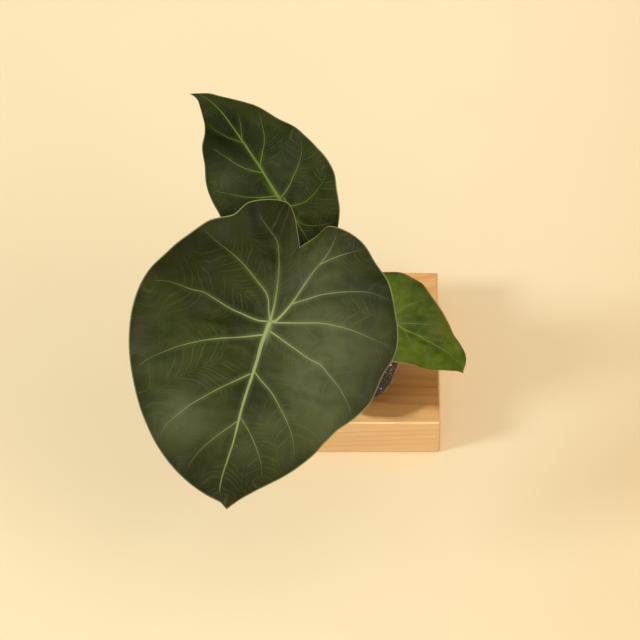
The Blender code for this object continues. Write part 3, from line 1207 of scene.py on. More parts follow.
    def skin_surface(self) -> Surface:
        """The blade's closed skin.

        Loops run round the navel, crowded towards the tip and the sinus. They go outwards on the
        upper face, round the margin and back on the lower face, which lies one thickness below.

        Returns:
            The skin, with the upper finish first and the lower one second.
        """
        form = self.form
        left_end, right_end = form.left[-1][0], form.right[-1][0]
        side = np.linspace(0, 1, form.columns // 2 + 1)
        turn = side - self.crowding * np.sin(TURN * side) / TURN
        angle = np.concatenate([-turn[::-1] * left_end, turn[1:-1] * right_end])
        reach = self.reach(angle)
        rays = np.stack([np.sin(np.radians(angle)), np.cos(np.radians(angle))], axis=-1)
        steps = np.array(self.rim_steps)
        within = (reach - steps[0] - 0.8)[None]
        rim = reach[None] - steps[:, None]
        outer = np.vstack([np.linspace(self.innermost, 1.0, form.rows)[:, None] * within, rim])
        inner = np.linspace(1.0, self.innermost, self.under_rows)[:, None] * within
        far = np.vstack([outer, reach[None], rim[::-1], inner])
        flat = (far[..., None] * rays[None]).reshape(-1, 2)
        rounds = len(angle)
        top = len(outer) * rounds
        values, swelling = self.values(flat)
        height = self.swell(flat) + swelling
        edge = values["edge"]
        thick = self.margin + (self.skin - self.margin) * eased(0, 45, edge)
        bead = self.bead * (1 - eased(0.3, 1.6, edge))
        curve = np.sqrt(np.clip(1 - (1 - np.clip(edge / 0.5, 0, 1))**2, 0, 1))
        middle = height - thick / 2
        upper = middle + (thick / 2 + bead) * curve
        lower = middle - (thick / 2 + bead) * curve
        face = np.arange(len(flat))
        height = np.where(face < top, upper, np.where(face < top + rounds, middle, lower))
        mesh = np.column_stack([self.hooked(flat), height])
        centres = np.array([[0, 0, mesh[:rounds, 2].mean()], [0, 0, mesh[-rounds:, 2].mean()]])
        count = len(mesh)
        faces = [band(len(outer) + 1, rounds), fan(count, 0, rounds, flip=True),
                 band(len(far) - len(outer), rounds, start=top), fan(count + 1, count - rounds, rounds)]
        values = {name: np.concatenate([value, value[:1], value[-1:]]) for name, value in values.items()}
        return Surface(self.to_world(np.vstack([mesh, centres])), faces, values, [0, 0, 1, 1])

    def rib(self, course: Array, vein: Vein) -> Surface:
        """One main vein as a flattened tube through the blade, low above it and tall below it.

        A place of the ring at angle a is w cos a to the side and h sin a up, where h is the small
        height above the skin for the upper half and the depth of the rib for the lower half.

        Args:
            course: (n, 2) places of its middle.
            vein: its widths and how it dulls.

        Returns:
            The closed tube.
        """
        sides = self.rib_sides
        share = np.linspace(0, 1, len(course))
        wide = vein.half_width(share) * (1 - 0.85 * eased(0.95, 1.0, share))
        path = np.column_stack([self.hooked(course), self.swell(course)])
        forward = unit(np.gradient(path, axis=0))
        across = unit(np.cross([0.0, 0.0, 1.0], forward))
        up = np.cross(forward, across)
        angle = np.arange(sides) * TURN / sides
        sine = np.sin(angle)[None]
        proud, depth = 0.32 + 0.10 * wide + 0.22 * share, self.skin + 0.62 * wide
        tall = np.where(sine > 0, proud[:, None], depth[:, None])
        ring = (path[:, None] + (wide[:, None] * np.cos(angle))[..., None] * across[:, None]
                + (tall * sine - self.rib_sunk)[..., None] * up[:, None])
        points = np.vstack([ring.reshape(-1, 3), path[:1] - 0.3 * up[:1], path[-1:] - 0.3 * up[-1:]])
        last = (len(path) - 1) * sides
        count = len(points) - 2
        quads = band(len(path), sides).reshape(len(path) - 1, sides, 4)
        above = quads[:, :sides // 2].reshape(-1, 4)
        below = quads[:, sides // 2:].reshape(-1, 4)
        faces = [above, below, fan(count, 0, sides, flip=True), fan(count + 1, last, sides)]
        fading = np.repeat(1 - 0.40 * eased(0.55, 1.0, share), sides)
        crest = (0.45 + 0.55 * np.abs(np.tile(np.sin(angle), len(path)))) * fading
        blank = np.zeros(len(points))
        # The painted sheen reaches the ribs too.
        painted_sheen = np.concatenate([np.repeat(self.patches(course, self.form.sheen_patches), sides), blank[:2]])
        far = np.concatenate([np.repeat(self.polar(course)[2] * vein.dull, sides), blank[:2]])
        values = {"vein": np.concatenate([crest, [0.6, 0.3]]), "far": far, "edge": blank + 20, "brown_and_shade": blank,
                  "painted_sheen": painted_sheen, "full": blank, "phase": blank, "fine": blank, "between": blank + 50,
                  "apart": blank + 50}
        return Surface(self.to_world(points), faces, values, [0, 1, 1, 1])

    def build(self) -> None:
        """Make the blade and its ribs."""
        node, slot = self.form.node, self.form.slot
        materials = [finish.build() for finish in self.finishes]
        self.skin_surface().piece(node + "_blade", slot, materials, node)
        ribs = [self.rib(course, vein) for course, vein in zip(self.courses, self.form.veins)]
        Surface.joined(ribs).piece(node + "_veins", slot, materials, node)


LARGE = LeafForm(
    node="leaf_large", slot=Slot.DARK_LEAF, navel=(-0.0580, -0.1455, 0.2458), face=(0.03, -0.56, 0.83),
    heading=-106.7,
    right=((0, 153.5), (2, 149.5), (6, 148), (16, 142.5), (26, 136), (37, 128.5), (53, 119.5),
           (69, 114.5), (94, 108.5), (112, 101), (125, 97), (134, 96.5), (147, 92.5), (157, 100),
           (167, 101.5), (174, 99), (178, 91), (182, 79), (187.6, 65)),
    left=((0, 153.5), (2, 149), (5, 143), (11, 133.5), (24, 120), (33, 112), (39, 106.5), (47, 103),
          (63, 104), (78, 100.5), (92, 104.5), (111, 101.5), (122, 101.5), (135, 98.5), (144, 100),
          (155, 97), (163, 91.5), (166, 78.5), (172.4, 65)),
    tip_droop=24, lobe_droop=14, side_droop=13, fold=10, ripple=3, waves=6, swing=0.6, hook=-3,
    veins=(
        Vein(((0, -1), (2, 17), (3, 41), (5, 71), (5, 97), (6, 114), (7, 129), (6, 141), (2, 151)),
             2.7, 0.7, 0.30),
        Vein(((0, 0), (0, -16), (2, -35), (5, -50), (10, -65), (18, -73), (26, -80), (31, -86)),
             1.5, 0.5, 2.8),
        Vein(((0, 0), (3, -8), (7, -20), (17, -29), (38, -44), (59, -54), (66, -58), (76, -62)), 0.8, 0.35),
        Vein(((2, 0), (10, 1), (23, -1), (37, -4), (56, -10), (68, -10), (87, -12), (101, -9)), 1.0, 0.35),
        Vein(((2, 11), (26, 20), (49, 28), (65, 36), (75, 43), (86, 51), (96, 62)), 1.0, 0.35),
        Vein(((5, 44), (14, 51), (28, 63), (45, 79), (54, 90), (61, 101), (63, 113)), 0.9, 0.35),
        Vein(((6, 84), (14, 93), (24, 105), (32, 118), (36, 130)), 0.6, 0.3),
        Vein(((0, 0), (-5, -3), (-13, -18), (-19, -35), (-23, -46), (-27, -55), (-31, -64), (-34, -76),
              (-35, -90)),
             1.7, 0.6, 1.7),
        Vein(((-27, -55), (-35, -62), (-47, -70), (-60, -78)), 0.8, 0.35),
        Vein(((-13, -18), (-32, -30), (-45, -36), (-66, -42), (-78, -43), (-92, -41)), 0.8, 0.35),
        Vein(((-2, 0), (-24, -5), (-40, -9), (-56, -10), (-70, -9), (-83, -7), (-100, -4)), 1.0, 0.35),
        Vein(((-1, 7), (-24, 16), (-37, 21), (-48, 24), (-58, 31), (-68, 39), (-76, 48), (-83, 58)),
             1.0, 0.35),
        Vein(((3, 41), (-4, 47), (-14, 54), (-22, 62), (-30, 71), (-37, 80), (-42, 89), (-46, 101)),
             0.9, 0.35),
        Vein(((5, 80), (-5, 89), (-14, 100), (-21, 112), (-25, 124)), 0.6, 0.3)),
    spacing=4.0, pillow=2.2,
    # The spots are partly brown patches and partly painted shade, on the blade's +x half, the back lobe and
    # near the tip.
    spots=((22, -78, 30, 0.9), (64, -32, 26, 0.85), (98, -22, 16, 0.6), (66, 3, 10, 0.5),
           (-16, 139, 28, 1.0), (-44, -84, 24, 0.35), (-96, 20, 15, 0.35), (30, 128, 22, 0.35),
           (104, 30, 14, 0.3)),
    # The sheen patches paint the grey sheen of the blade's -x half and highlights near the sinus.
    sheen_patches=((-48, 10, 46, 0.85), (-52, 60, 34, 0.55), (-30, -55, 28, 0.55), (-5, 100, 26, 0.35),
         (92, 52, 20, 0.4), (51, 91, 24, 0.85), (-13, -80, 8, 0.9), (-6, -97, 8, 0.5)),
    curls=((176, 6, 9), (152, 8, 5), (-167, 8, 6), (118, 14, -5), (75, 12, 3), (-60, 16, 3.5),
           (-118, 14, -3), (30, 10, 2.5)),
    columns=430, rows=128, seed=11)

UPPER = LeafForm(
    node="leaf_upper", slot=Slot.DARK_LEAF, navel=(-0.0513, -0.0230, 0.2572), face=(-0.05, -0.45, 0.89),
    heading=128.1,
    right=((0, 119), (2, 113), (9, 97.5), (21, 82.5), (33, 69), (57, 57), (76, 51), (98, 50), (118, 48),
           (146, 53), (158, 56), (170, 58), (182, 57), (190, 52), (195, 45), (197, 34)),
    left=((0, 119), (3, 107), (5, 99), (8, 90), (13, 82.5), (19, 78), (29, 68), (45, 60), (58, 54.5),
          (72, 50.5), (93, 49), (118, 51), (140, 55), (152, 52), (159, 44), (163, 34)),
    tip_droop=16, lobe_droop=10, side_droop=9, fold=12, ripple=1.8, waves=5, swing=1.0, hook=-7,
    veins=(
        Vein(((0, -1), (1, 12), (2.5, 29), (4, 54), (5, 76), (4, 97), (0, 117)), 1.8, 0.5, 0.35),
        Vein(((0, 0), (0, -21), (-0.4, -31), (-1, -41), (-4, -50)), 1.2, 0.4),
        Vein(((-1, -20), (3.6, -30), (13, -37.4), (24.3, -42.8)), 0.6, 0.3),
        Vein(((3, -2), (3.6, -10.8), (14.8, -15.2), (25.7, -13.7), (35.6, -11), (44, -6.7)), 0.7, 0.3),
        Vein(((1, -1), (13.8, 3.7), (28.4, 12.5), (37, 20), (43, 29)), 0.8, 0.3),
        Vein(((3, 31), (18.6, 47), (25, 59.4), (29.4, 71)), 0.7, 0.3),
        Vein(((2, 25), (-8, 36.6), (-13.6, 49.4), (-19.4, 66)), 0.7, 0.3),
        Vein(((0, 2), (-18.8, 14), (-32.5, 27.3), (-40, 37)), 0.8, 0.3),
        Vein(((0, 0), (-13, -7), (-26, -9), (-38, -8), (-47, -4)), 0.7, 0.3),
        Vein(((0, 0), (-8, -12), (-14, -24), (-20, -35), (-24, -44)), 1.1, 0.4),
        Vein(((4, 56), (-2, 66), (-7, 77), (-10, 88)), 0.5, 0.25),
        Vein(((5, 60), (11, 70), (15, 80)), 0.5, 0.25)),
    spacing=3.0, pillow=1.5, spots=((34, -30, 18, 0.35), (0, 108, 12, 0.4)),
    sheen_patches=((-30, 40, 16, 0.6), (22, 20, 22, 0.35)),
    curls=((70, 16, 2.5), (-45, 12, -2), (20, 8, 1.5), (130, 14, 2)), columns=300, rows=110, seed=23)

SMALL = LeafForm(
    node="leaf_small", slot=Slot.YOUNG_LEAF, navel=(0.0383, -0.0652, 0.1565), face=(0.28, -0.50, 0.82),
    heading=-19.9,
    right=((0, 80.5), (2, 78), (5, 73), (12, 63.5), (23, 53), (33, 44), (48, 38.5), (70, 36), (95, 37),
           (125, 38), (150, 39), (165, 36), (173, 29), (180, 25)),
    left=((0, 80.5), (2, 79.8), (5, 79), (11, 70.5), (19, 59.5), (30, 51.5), (46, 44.5), (61, 41.5),
          (86, 40), (105, 38.5), (127, 37.5), (150, 39), (163, 37), (172, 30), (180, 25)),
    tip_droop=10, lobe_droop=6, side_droop=5, fold=7, ripple=1.2, waves=5, swing=0.0, hook=3,
    veins=(
        Vein(((0, 0), (1, 3), (1, 16), (-2, 38), (-3, 59), (-2, 72), (0, 79)), 1.0, 0.4, 0.5),
        Vein(((0, 0), (5, -10), (10, -19), (14, -29)), 0.8, 0.3),
        Vein(((0, 0), (-5, -10), (-9, -20), (-12, -30)), 0.8, 0.3),
        Vein(((1, 0), (12, -2), (23, -1), (33, 3)), 0.6, 0.25),
        Vein(((1, 5), (11, 10), (21, 17), (28, 25)), 0.6, 0.25),
        Vein(((1, 18), (9, 28), (14, 42), (16, 47)), 0.5, 0.25),
        Vein(((-1, 0), (-12, -3), (-24, -2), (-34, 2)), 0.6, 0.25),
        Vein(((0, 2), (-9, 5), (-17, 9), (-25, 16), (-33, 24)), 0.6, 0.25),
        Vein(((0, 9), (-11, 28), (-17, 39), (-21, 48)), 0.6, 0.25),
        Vein(((-1, 30), (-7, 44), (-10, 56)), 0.4, 0.2)),
    spacing=2.4, pillow=1.3, spots=((-20, 45, 14, 0.3), (0, -30, 12, 0.3)),
    sheen_patches=((16, 14, 16, 0.5), (-10, 40, 12, 0.3)),
    curls=((60, 16, 1.6), (-30, 10, 2.2), (-95, 16, -1.6), (6, 6, 1.5)), columns=240, rows=90, seed=37)


# ---- stalks and stem

Sizes = tuple[float, float, int]
POT_CENTRE = np.array([0.007, -0.028, 0.0403])
STEM_FOOT = POT_CENTRE + np.array([0.0, 0.0, 0.0575 + 0.0015 + 0.0003])
STALK_FOOT = STEM_FOOT[2] + 0.026 + 0.0003


@dataclass(frozen=True)
class Petiole:
    """One leaf stalk from the stem to the underside of its blade, in metres.

    Fields:
        node: CAD node that it stands for.
        foot: place on the stem's top beside the pot's axis.
        via: places the arch passes.
        drops: distances below the navel where the stalk runs square to the blade.
        radius: at the foot and at the navel.
        leaf: the blade that it carries.
        wing: which way its sheath opens, in degrees.
    """

    node: str
    foot: tuple[float, float]
    via: Rows
    drops: tuple[float, float]
    radius: tuple[float, float]
    leaf: LeafForm
    wing: float

    sides = 40
    bulge = (0.0022, 0.014)  # height and length of the swelling at the foot
    flare = (0.0024, 0.0035)  # the same where it spreads under the navel
    sway = (0.00012, 0.030)  # height and length of its soft waves
    furrows = (7, 0.00010, 0.06)  # count, depth and the length over which they fade
    brown_foot = 0.020  # the foot stays brown over about this length
    wrap = 150.0  # how far the sheath reaches round to either side, in degrees
    climb = 0.30  # share of the stalk that the sheath climbs

    def route(self, blade: LeafBlade) -> Array:
        """Centreline: straight up from the stem, over the arch and square into the blade.

        Args:
            blade: the blade that it carries.

        Returns:
            (240, 3) places an equal length apart.
        """
        foot = np.array([POT_CENTRE[0] + self.foot[0], POT_CENTRE[1] + self.foot[1], STALK_FOOT])
        rise = [foot + np.array([0.0, 0.0, height]) for height in (-0.004, 0.003, 0.010)]
        under = [blade.to_world(np.array([0.0, 0.0, -drop / MM])) for drop in (*self.drops, 0.0006)]
        return evenly(through(np.array([*rise, *self.via, *under]), 400), 240)

    def build(self, blade: LeafBlade, finish: Material) -> None:
        """Make the stalk: it swells into the stem at its foot and spreads under the navel.

        The radius falls evenly from foot to navel. Two exponentials of the distance from the ends
        add the sheath's bulge and the spread, and a small cosine of the angle adds its furrows.

        Args:
            blade: the blade that it carries.
            finish: material of its skin.
        """
        path = self.route(blade)
        length = np.linalg.norm(np.diff(path, axis=0), axis=1).sum()
        along = np.linspace(0, length, len(path))
        radius = self.radius[0] + (self.radius[1] - self.radius[0]) * along / length
        for (height, reach), away in zip((self.bulge, self.flare), (along, length - along)):
            radius += height * np.exp(-away / reach)
        radius += self.sway[0] * wander(along[:, None], self.sway[1], int(1000 * length))
        stalk = tube(path, radius, self.sides)
        cosine, sine, far = stalk.values["strand"].T
        count, depth, fade = self.furrows
        furrow = np.cos(count * np.arctan2(sine, cosine)) * depth * np.exp(-far / fade)
        centre = np.vstack([np.repeat(path, self.sides, axis=0), path[:1], path[-1:]])
        away = stalk.points - centre
        size = np.linalg.norm(away, axis=1, keepdims=True)
        stalk.points = stalk.points + away / np.maximum(size, 1e-9) * furrow[:, None]
        stalk.values["foot"] = np.exp(-far / self.brown_foot)
        sheath = self.sheath(path, radius)
        Surface.joined([stalk, sheath]).piece(self.node + "_stalk", Slot.STALK, [finish], self.node)

    def sheath(self, path: Array, radius: Array) -> Surface:
        """Thin wings of the leaf base, wrapped half round the foot of the stalk and dry at the rim.

        The wrap narrows towards the top, where it runs out, and its free edges stand off a little.

        Args:
            path: (n, 3) centreline of the stalk.
            radius: (n,) radius of the stalk.

        Returns:
            The closed sheath.
        """
        rows, columns = 70, 56
        climb = np.linspace(0, 1, rows)
        index = (climb * self.climb * len(path)).astype(int)
        up = unit(np.gradient(path, axis=0)[index])
        facing = math.radians(self.wing)
        first = unit(np.cross(up, [-math.sin(facing), math.cos(facing), 0.0]))
        second = np.cross(up, first)
        half = np.radians(self.wrap) * (1 - 0.72 * climb**1.5)
        around = np.linspace(-1, 1, columns)
        angle = half[:, None] * around[None]
        lift = 0.0003 + 0.0016 * np.abs(around[None])**4 * (0.4 + climb[:, None]) * (1 - climb[:, None]**6)
        lift = lift + 0.00025 * np.sin(9 * climb[:, None] + 5 * around[None])
        layers = []
        for skin in (0.0005, 0.0):
            far = (radius[index][:, None] + lift + skin)[..., None]
            ring = np.cos(angle)[..., None] * first[:, None] + np.sin(angle)[..., None] * second[:, None]
            layers.append(path[index][:, None] + far * ring)
        around = np.concatenate([around, around[::-1]])
        strand = np.stack([np.tile(np.cos(2 * around), rows), np.tile(np.sin(2 * around), rows),
                           np.repeat(climb * 0.06, 2 * columns)], axis=-1)
        foot = np.repeat(0.35 + 0.4 * climb, 2 * columns) + 0.5 * np.tile(np.abs(around)**6, rows)
        return sheet(*layers, strand, foot)


@dataclass(frozen=True)
class StemBase:
    """Short swollen stem with the collars of old leaves and a few dry scales round it, in millimetres.

    Fields:
        profile: rows of radius and height.
        scales: rows of compass direction, height of the foot and height of the tip.
    """

    profile: Rows = ((0.0, 0.0), (12.6, 0.0), (13.6, 1.6), (13.4, 3.4), (13.0, 8.0), (12.3, 12.0),
                     (11.8, 15.0), (11.2, 22.0), (10.2, 25.4), (7.5, 26.8), (0.0, 27.2))
    scales: Rows = ((10, 1, 15), (95, 2, 19), (150, 1, 12), (215, 1, 17), (285, 2, 13), (330, 6, 21))

    collars = (0.55, 5.2)  # depth and height of each
    ribs = (0.12, 26)  # depth and count
    soft = (0.35, 11)  # height and length of the soft waves
    scale_width = 34.0  # half of it, in degrees

    def build(self, finish: Material) -> None:
        """Make the stem. Its radius follows the profile plus a saw of collars and a soft wander.

        Args:
            finish: material of its skin.
        """
        rows, segments = 120, 96
        profile = evenly(np.array(self.profile), rows) * MM
        points, faces = revolved(profile, segments)
        height = points[:, 2] / MM
        angle = np.arctan2(points[:, 1], points[:, 0])
        tilt = height + 1.4 * np.sin(angle + 0.6) + 0.5 * np.sin(3 * angle)
        ends = eased(0, 3, height) * eased(27, 22, height)
        collar = self.collars[0] * eased(0.0, 0.85, np.mod(tilt / self.collars[1], 1.0)) * ends
        ribs = self.ribs[0] * np.cos(self.ribs[1] * angle + 2.0 * np.sin(tilt))
        out = (collar + ribs + self.soft[0] * wander(points / MM, self.soft[1], 5)) * MM
        side = np.linalg.norm(points[:, :2], axis=1, keepdims=True)
        points[:, :2] += points[:, :2] / np.maximum(side, 1e-6) * out[:, None] * eased(0.002, 0.008, side)
        strand = np.column_stack([np.cos(angle), np.sin(angle), points[:, 2]])
        stem = Surface(points + STEM_FOOT, faces, {"strand": strand, "foot": eased(26, 4, height)}, [0, 0, 0])
        scales = [self.scale(*row) for row in self.scales]
        Surface.joined([stem, *scales]).piece("stem_base_skin", Slot.STEM, [finish], "stem_base")

    def scale(self, turn: float, low: float, high: float) -> Surface:
        """One dry scale: a thin curved shield against the stem, its tip bent away from it.

        Args:
            turn, low, high: one row of the scales.

        Returns:
            The closed scale.
        """
        rows, columns = 26, 18
        climb = np.linspace(0, 1, rows)[:, None]
        across = np.linspace(-1, 1, columns)[None]
        wide = np.radians(self.scale_width) * np.sqrt(np.clip(1 - climb**2.2, 0.003, 1))
        angle = math.radians(turn) + wide * across
        height = low + (high - low) * climb + 0.6 * np.cos(4 * across + turn)
        profile = np.array(self.profile)[1:-1]
        base = np.interp(height, profile[:, 1], profile[:, 0])
        far = base + 0.6 + 2.6 * climb**3 + 0.7 * np.abs(across)**3 * climb + 0.2 * np.sin(12 * across + turn)
        layers = [np.stack([(far + skin) * np.cos(angle), (far + skin) * np.sin(angle),
                            np.broadcast_to(height, far.shape)], axis=-1) for skin in (0.35, 0.0)]
        there_and_back = np.concatenate([across[0], across[0, ::-1]])
        climbed = np.broadcast_to(height, far.shape)
        lengthwise = np.concatenate([climbed, climbed[:, ::-1]], axis=1).ravel() * MM
        strand = np.stack([np.tile(there_and_back * 2, rows), np.zeros(2 * rows * columns), lengthwise],
                          axis=-1)
        scale = sheet(*layers, strand, np.full(2 * rows * columns, 0.9))
        scale.points = scale.points * MM + STEM_FOOT
        return scale


# ---- pot and contents


@dataclass(frozen=True)
class NurseryPot:
    """Thin clear tapered pot with a stepped rim band, moulded ribs and drain holes, in metres."""

    height: float = 0.070
    rim: float = 0.053
    base: float = 0.038
    wall: float = 0.0009
    floor: float = 0.0012
    rim_band: float = 0.011
    rim_step: float = 0.0016
    drains: int = 8
    drain_radius: float = 0.0042
    drain_centre: float = 0.0352
    drain_rise: float = 0.006
    segments: int = 192

    def radius(self, height: Array | float) -> Array | float:
        """Outer radius of the tapered wall: a straight line from the base to below the rim band."""
        top = self.rim - self.rim_step - 0.0006
        return self.base + height / (self.height - self.rim_band) * (top - self.base)

    def profile(self) -> Array:
        """Half section from the underside of the axis, up the outside and down the inside.

        Returns:
            (n, 2) rows of radius and height.
        """
        low, wall = self.height - self.rim_band, self.wall
        return np.array([
            (0.0, 0.0), (self.base - 0.0030, 0.0), (self.base - 0.0010, 0.0), (self.radius(0.0012), 0.0012),
            *((self.radius(low * share), low * share) for share in (0.25, 0.5, 0.75)),
            (self.radius(low - 0.0008), low - 0.0008),
            (self.rim - 0.0010, low - 0.0001), (self.rim - 0.0006, low + 0.0004),
            (self.rim - 0.0003, low + 0.0055), (self.rim, self.height - 0.0007),
            (self.rim - 0.0002, self.height - 0.0002), (self.rim - 0.0005, self.height),
            (self.rim - 0.0008, self.height - 0.0002), (self.rim - wall, self.height - 0.0007),
            (self.rim - wall - 0.0003, low + 0.0060), (self.rim - wall - 0.0006, low + 0.0012),
            (self.radius(low) - wall, low), (self.radius(low * 0.5) - wall, low * 0.5),
            (self.radius(0.0022) - wall, 0.0022), (self.base - wall - 0.0012, self.floor), (0.0, self.floor)])

    def build(self, finish: Material) -> None:
        """Make the pot and cut its drain holes through the corner of the floor and the wall.

        Args:
            finish: the clear plastic.
        """
        points, faces = revolved(self.profile(), self.segments)
        angle = np.arctan2(points[:, 1], points[:, 0])
        side = np.linalg.norm(points[:, :2], axis=1)
        wave = 0.00018 * np.cos(16 * angle) * eased(self.base, self.base + 0.004, side)
        points[:, :2] *= (1 + wave / np.maximum(side, 1e-6))[:, None]
        pot = Surface(points + POT_CENTRE, faces, {}, [0, 0, 0])
        obj = pot.piece("nursery_pot_wall", Slot.CLEAR, [finish], "nursery_pot")
        cutter = self.cutters()
        cut = obj.modifiers.new("drain holes", "BOOLEAN")
        cut.object = cutter
        cut.solver = "EXACT"
        view = bpy.context.evaluated_depsgraph_get()
        mesh = bpy.data.meshes.new_from_object(obj.evaluated_get(view))
        obj.modifiers.clear()
        obj.data = mesh
        bpy.data.objects.remove(cutter)
        mesh.set_sharp_from_angle(angle=math.radians(38))

    def cutters(self) -> bpy.types.Object:
        """Upright cylinders where the drain holes go, as one object.

        Returns:
            The object, which goes once the holes are cut.
        """
        bm = bmesh.new()
        depth = self.drain_rise + 0.002
        for index in range(self.drains):
            turn = TURN * index / self.drains
            spot = Vector((self.drain_centre * math.cos(turn), self.drain_centre * math.sin(turn),
                           self.drain_rise - depth / 2)) + Vector(POT_CENTRE)
            made = bmesh.ops.create_cone(bm, cap_ends=True, segments=40, radius1=self.drain_radius,
                                         radius2=self.drain_radius, depth=depth)
            bmesh.ops.translate(bm, verts=made["verts"], vec=spot)
        mesh = bpy.data.meshes.new("drain_cutter")
        bm.to_mesh(mesh)
        bm.free()
        obj = bpy.data.objects.new("drain_cutter", mesh)
        bpy.context.scene.collection.objects.link(obj)
        return obj


class RootBall:
    """Potting mix in the shape of the pot, with perlite, bark crumbs and roots in it, in metres.

    Each row of sizes is the least radius, the most and the count of one kind of grain.
    """

    soil_level = 0.0575
    crown = 0.0015
    stem_radius = 0.0135
    perlite_above = (0.0009, 0.0021, 300)
    perlite_behind = (0.0009, 0.0023, 200)
    bark_above = (0.0006, 0.0019, 520)
    bark_behind = (0.0005, 0.0014, 520)
    wall_roots = 34
    soil_roots = 12
    segments = 300

    def __init__(self, pot: NurseryPot) -> None:
        """Keep the pot that it fills."""
        self.pot = pot

    def side(self, height: Array | float) -> Array | float:
        """Radius of the ball at a height above the pot's underside."""
        return self.pot.radius(height) - self.pot.wall - 0.0003

    def top(self, flat: Array) -> Array:
        """Height of the soil's surface at (x, y) places: a low crown with clods and hollows.

        Args:
            flat: (n, 2) places from the pot's axis.

        Returns:
            (n,) heights above the pot's underside.
        """
        far = np.linalg.norm(flat, axis=1)
        clods = 0.0007 * wander(flat, 0.017, 3) + 0.0006 * np.abs(wander(flat, 0.0065, 4))
        clods += 0.00035 * wander(flat, 0.0026, 5)
        return self.soil_level + self.crown * (1 - (far / 0.047)**2) + clods * eased(0.048, 0.043, far)

    def build(self, mix: Material, perlite: Material, bark: Material,
              roots: Material) -> None:
        """Make the ball and everything in it.

        Args:
            mix, perlite, bark, roots: materials of the four pieces.
        """
        self.body().piece("potting_mix_body", Slot.MIX, [mix], "root_ball")
        white = self.grains(41, self.perlite_above, self.perlite_behind, 0.0008, 0.22)
        white.piece("perlite_grains", Slot.MIX, [perlite], "root_ball")
        brown = self.grains(51, self.bark_above, self.bark_behind, 0.0006, 0.30)
        brown.piece("bark_crumbs", Slot.MIX, [bark], "root_ball")
        self.roots().piece("fine_roots", Slot.MIX, [roots], "root_ball")

    def body(self) -> Surface:
        """Revolved grid whose side is dented inwards only and whose top is raised and sunk.

        Returns:
            The closed ball.
        """
        low, high = self.pot.floor + 0.0003, self.soil_level - 0.0004
        corner = [(0.0, low), (self.side(0.003) - 0.0016, low), (self.side(0.0030), 0.0030),
                  (self.side(high), high), (self.side(high) - 0.0008, self.soil_level),
                  (0.0, self.soil_level)]
        profile = np.vstack([evenly(np.array(corner[:2]), 14), evenly(np.array(corner[2:4]), 110),
                             evenly(np.array(corner[4:]), 90)])
        points, faces = revolved(profile, self.segments)
        far = np.linalg.norm(points[:, :2], axis=1)
        dent = np.abs(wander(points, 0.0060, 21)) * 0.6 + np.abs(wander(points, 0.0027, 22)) * 0.4
        dent = 0.0011 * np.clip(1.15 - dent, 0, 1.2) + 0.0008 * eased(0.4, 1.3, wander(points, 0.016, 23))
        wall = eased(low, 0.004, points[:, 2]) * (points[:, 2] < high + 1e-6)
        points[:, :2] *= (1 - dent * wall / np.maximum(far, 1e-6))[:, None]
        raised = points[:, 2] > high + 1e-6
        points[:, 2] = np.where(raised, self.top(points[:, :2]), points[:, 2])
        return Surface(points + POT_CENTRE, faces, {}, [0, 0, 0])

    def on_top(self, count: int, seed: int, depth: float) -> Array:
        """Random places on the soil between the stem and the wall.

        Args:
            count, seed: how many places, and what picks them.
            depth: the deepest that a grain sinks.

        Returns:
            (count, 3) places.
        """
        draw = np.random.default_rng(seed)
        inner, outer = self.stem_radius + 0.002, self.side(self.soil_level) - 0.003
        far = np.sqrt(draw.uniform(inner**2, outer**2, count))
        turn = draw.uniform(0, TURN, count)
        flat = turned(far, turn)
        return np.column_stack([flat, self.top(flat) - draw.uniform(0, depth, count)]) + POT_CENTRE

    def at_wall(self, sizes: Array, seed: int) -> Array:
        """Random places behind the wall, each as deep as its grain is wide.

        Args:
            sizes: (n,) radii of the grains.
            seed: picks the places.

        Returns:
            (n, 3) places.
        """
        draw = np.random.default_rng(seed)
        height = draw.uniform(0.004, self.soil_level - 0.002, len(sizes))
        turn = draw.uniform(0, TURN, len(sizes))
        far = self.side(height) - 1.15 * sizes - 0.0001
        return turned(far, turn, height) + POT_CENTRE

    def grains(self, seed: int, above: Sizes, behind: Sizes, sunk: float, rough: float) -> Surface:
        """Uneven grains on the soil and against the wall.

        Args:
            seed: picks them; the four numbers after it are taken too.
            above, behind: least radius, most and count on the soil and behind the wall.
            sunk: the deepest that a grain on the soil sinks.
            rough: spread of the dents as a share of the radius.

        Returns:
            All the grains.
        """
        draw = np.random.default_rng(seed)
        top, side = draw.uniform(*above), draw.uniform(*behind)
        return Surface.joined([pebbles(self.on_top(len(top), seed + 1, sunk), top, seed + 2, rough),
                               pebbles(self.at_wall(side, seed + 3), side, seed + 4, rough)])

    def roots(self) -> Surface:
        """Fine roots that wander down and round behind the wall, and a few on the soil.

        Returns:
            All the roots.
        """
        draw = np.random.default_rng(61)
        parts = []
        for _ in range(self.wall_roots):
            steps = 9
            turn = draw.uniform(0, TURN) + np.cumsum(draw.normal(0.04, 0.14, steps))
            height = draw.uniform(0.030, 0.055) - np.cumsum(draw.uniform(-0.001, 0.0075, steps))
            height = np.clip(height, 0.004, 0.055)
            radius = draw.uniform(0.00028, 0.00062)
            far = self.side(height) - 1.3 * radius - draw.uniform(0.0, 0.0006, steps)
            path = evenly(through(turned(far, turn, height), 90), 56) + POT_CENTRE
            parts.append(tube(path, radius * np.linspace(1.0, 0.35, 56), 8))
        for _ in range(self.soil_roots):
            steps = 6
            turn = draw.uniform(0, TURN) + np.cumsum(draw.normal(0.0, 0.12, steps))
            far = np.linspace(0.012, draw.uniform(0.028, 0.044), steps)
            flat = turned(far, turn)
            lift = self.top(flat) + draw.uniform(-0.0005, 0.0010, steps)
            path = evenly(through(np.column_stack([flat, lift]), 60), 40) + POT_CENTRE
            parts.append(tube(path, draw.uniform(0.0004, 0.0009) * np.linspace(1.0, 0.4, 40), 8))
        return Surface.joined(parts)


# ---- block and stage


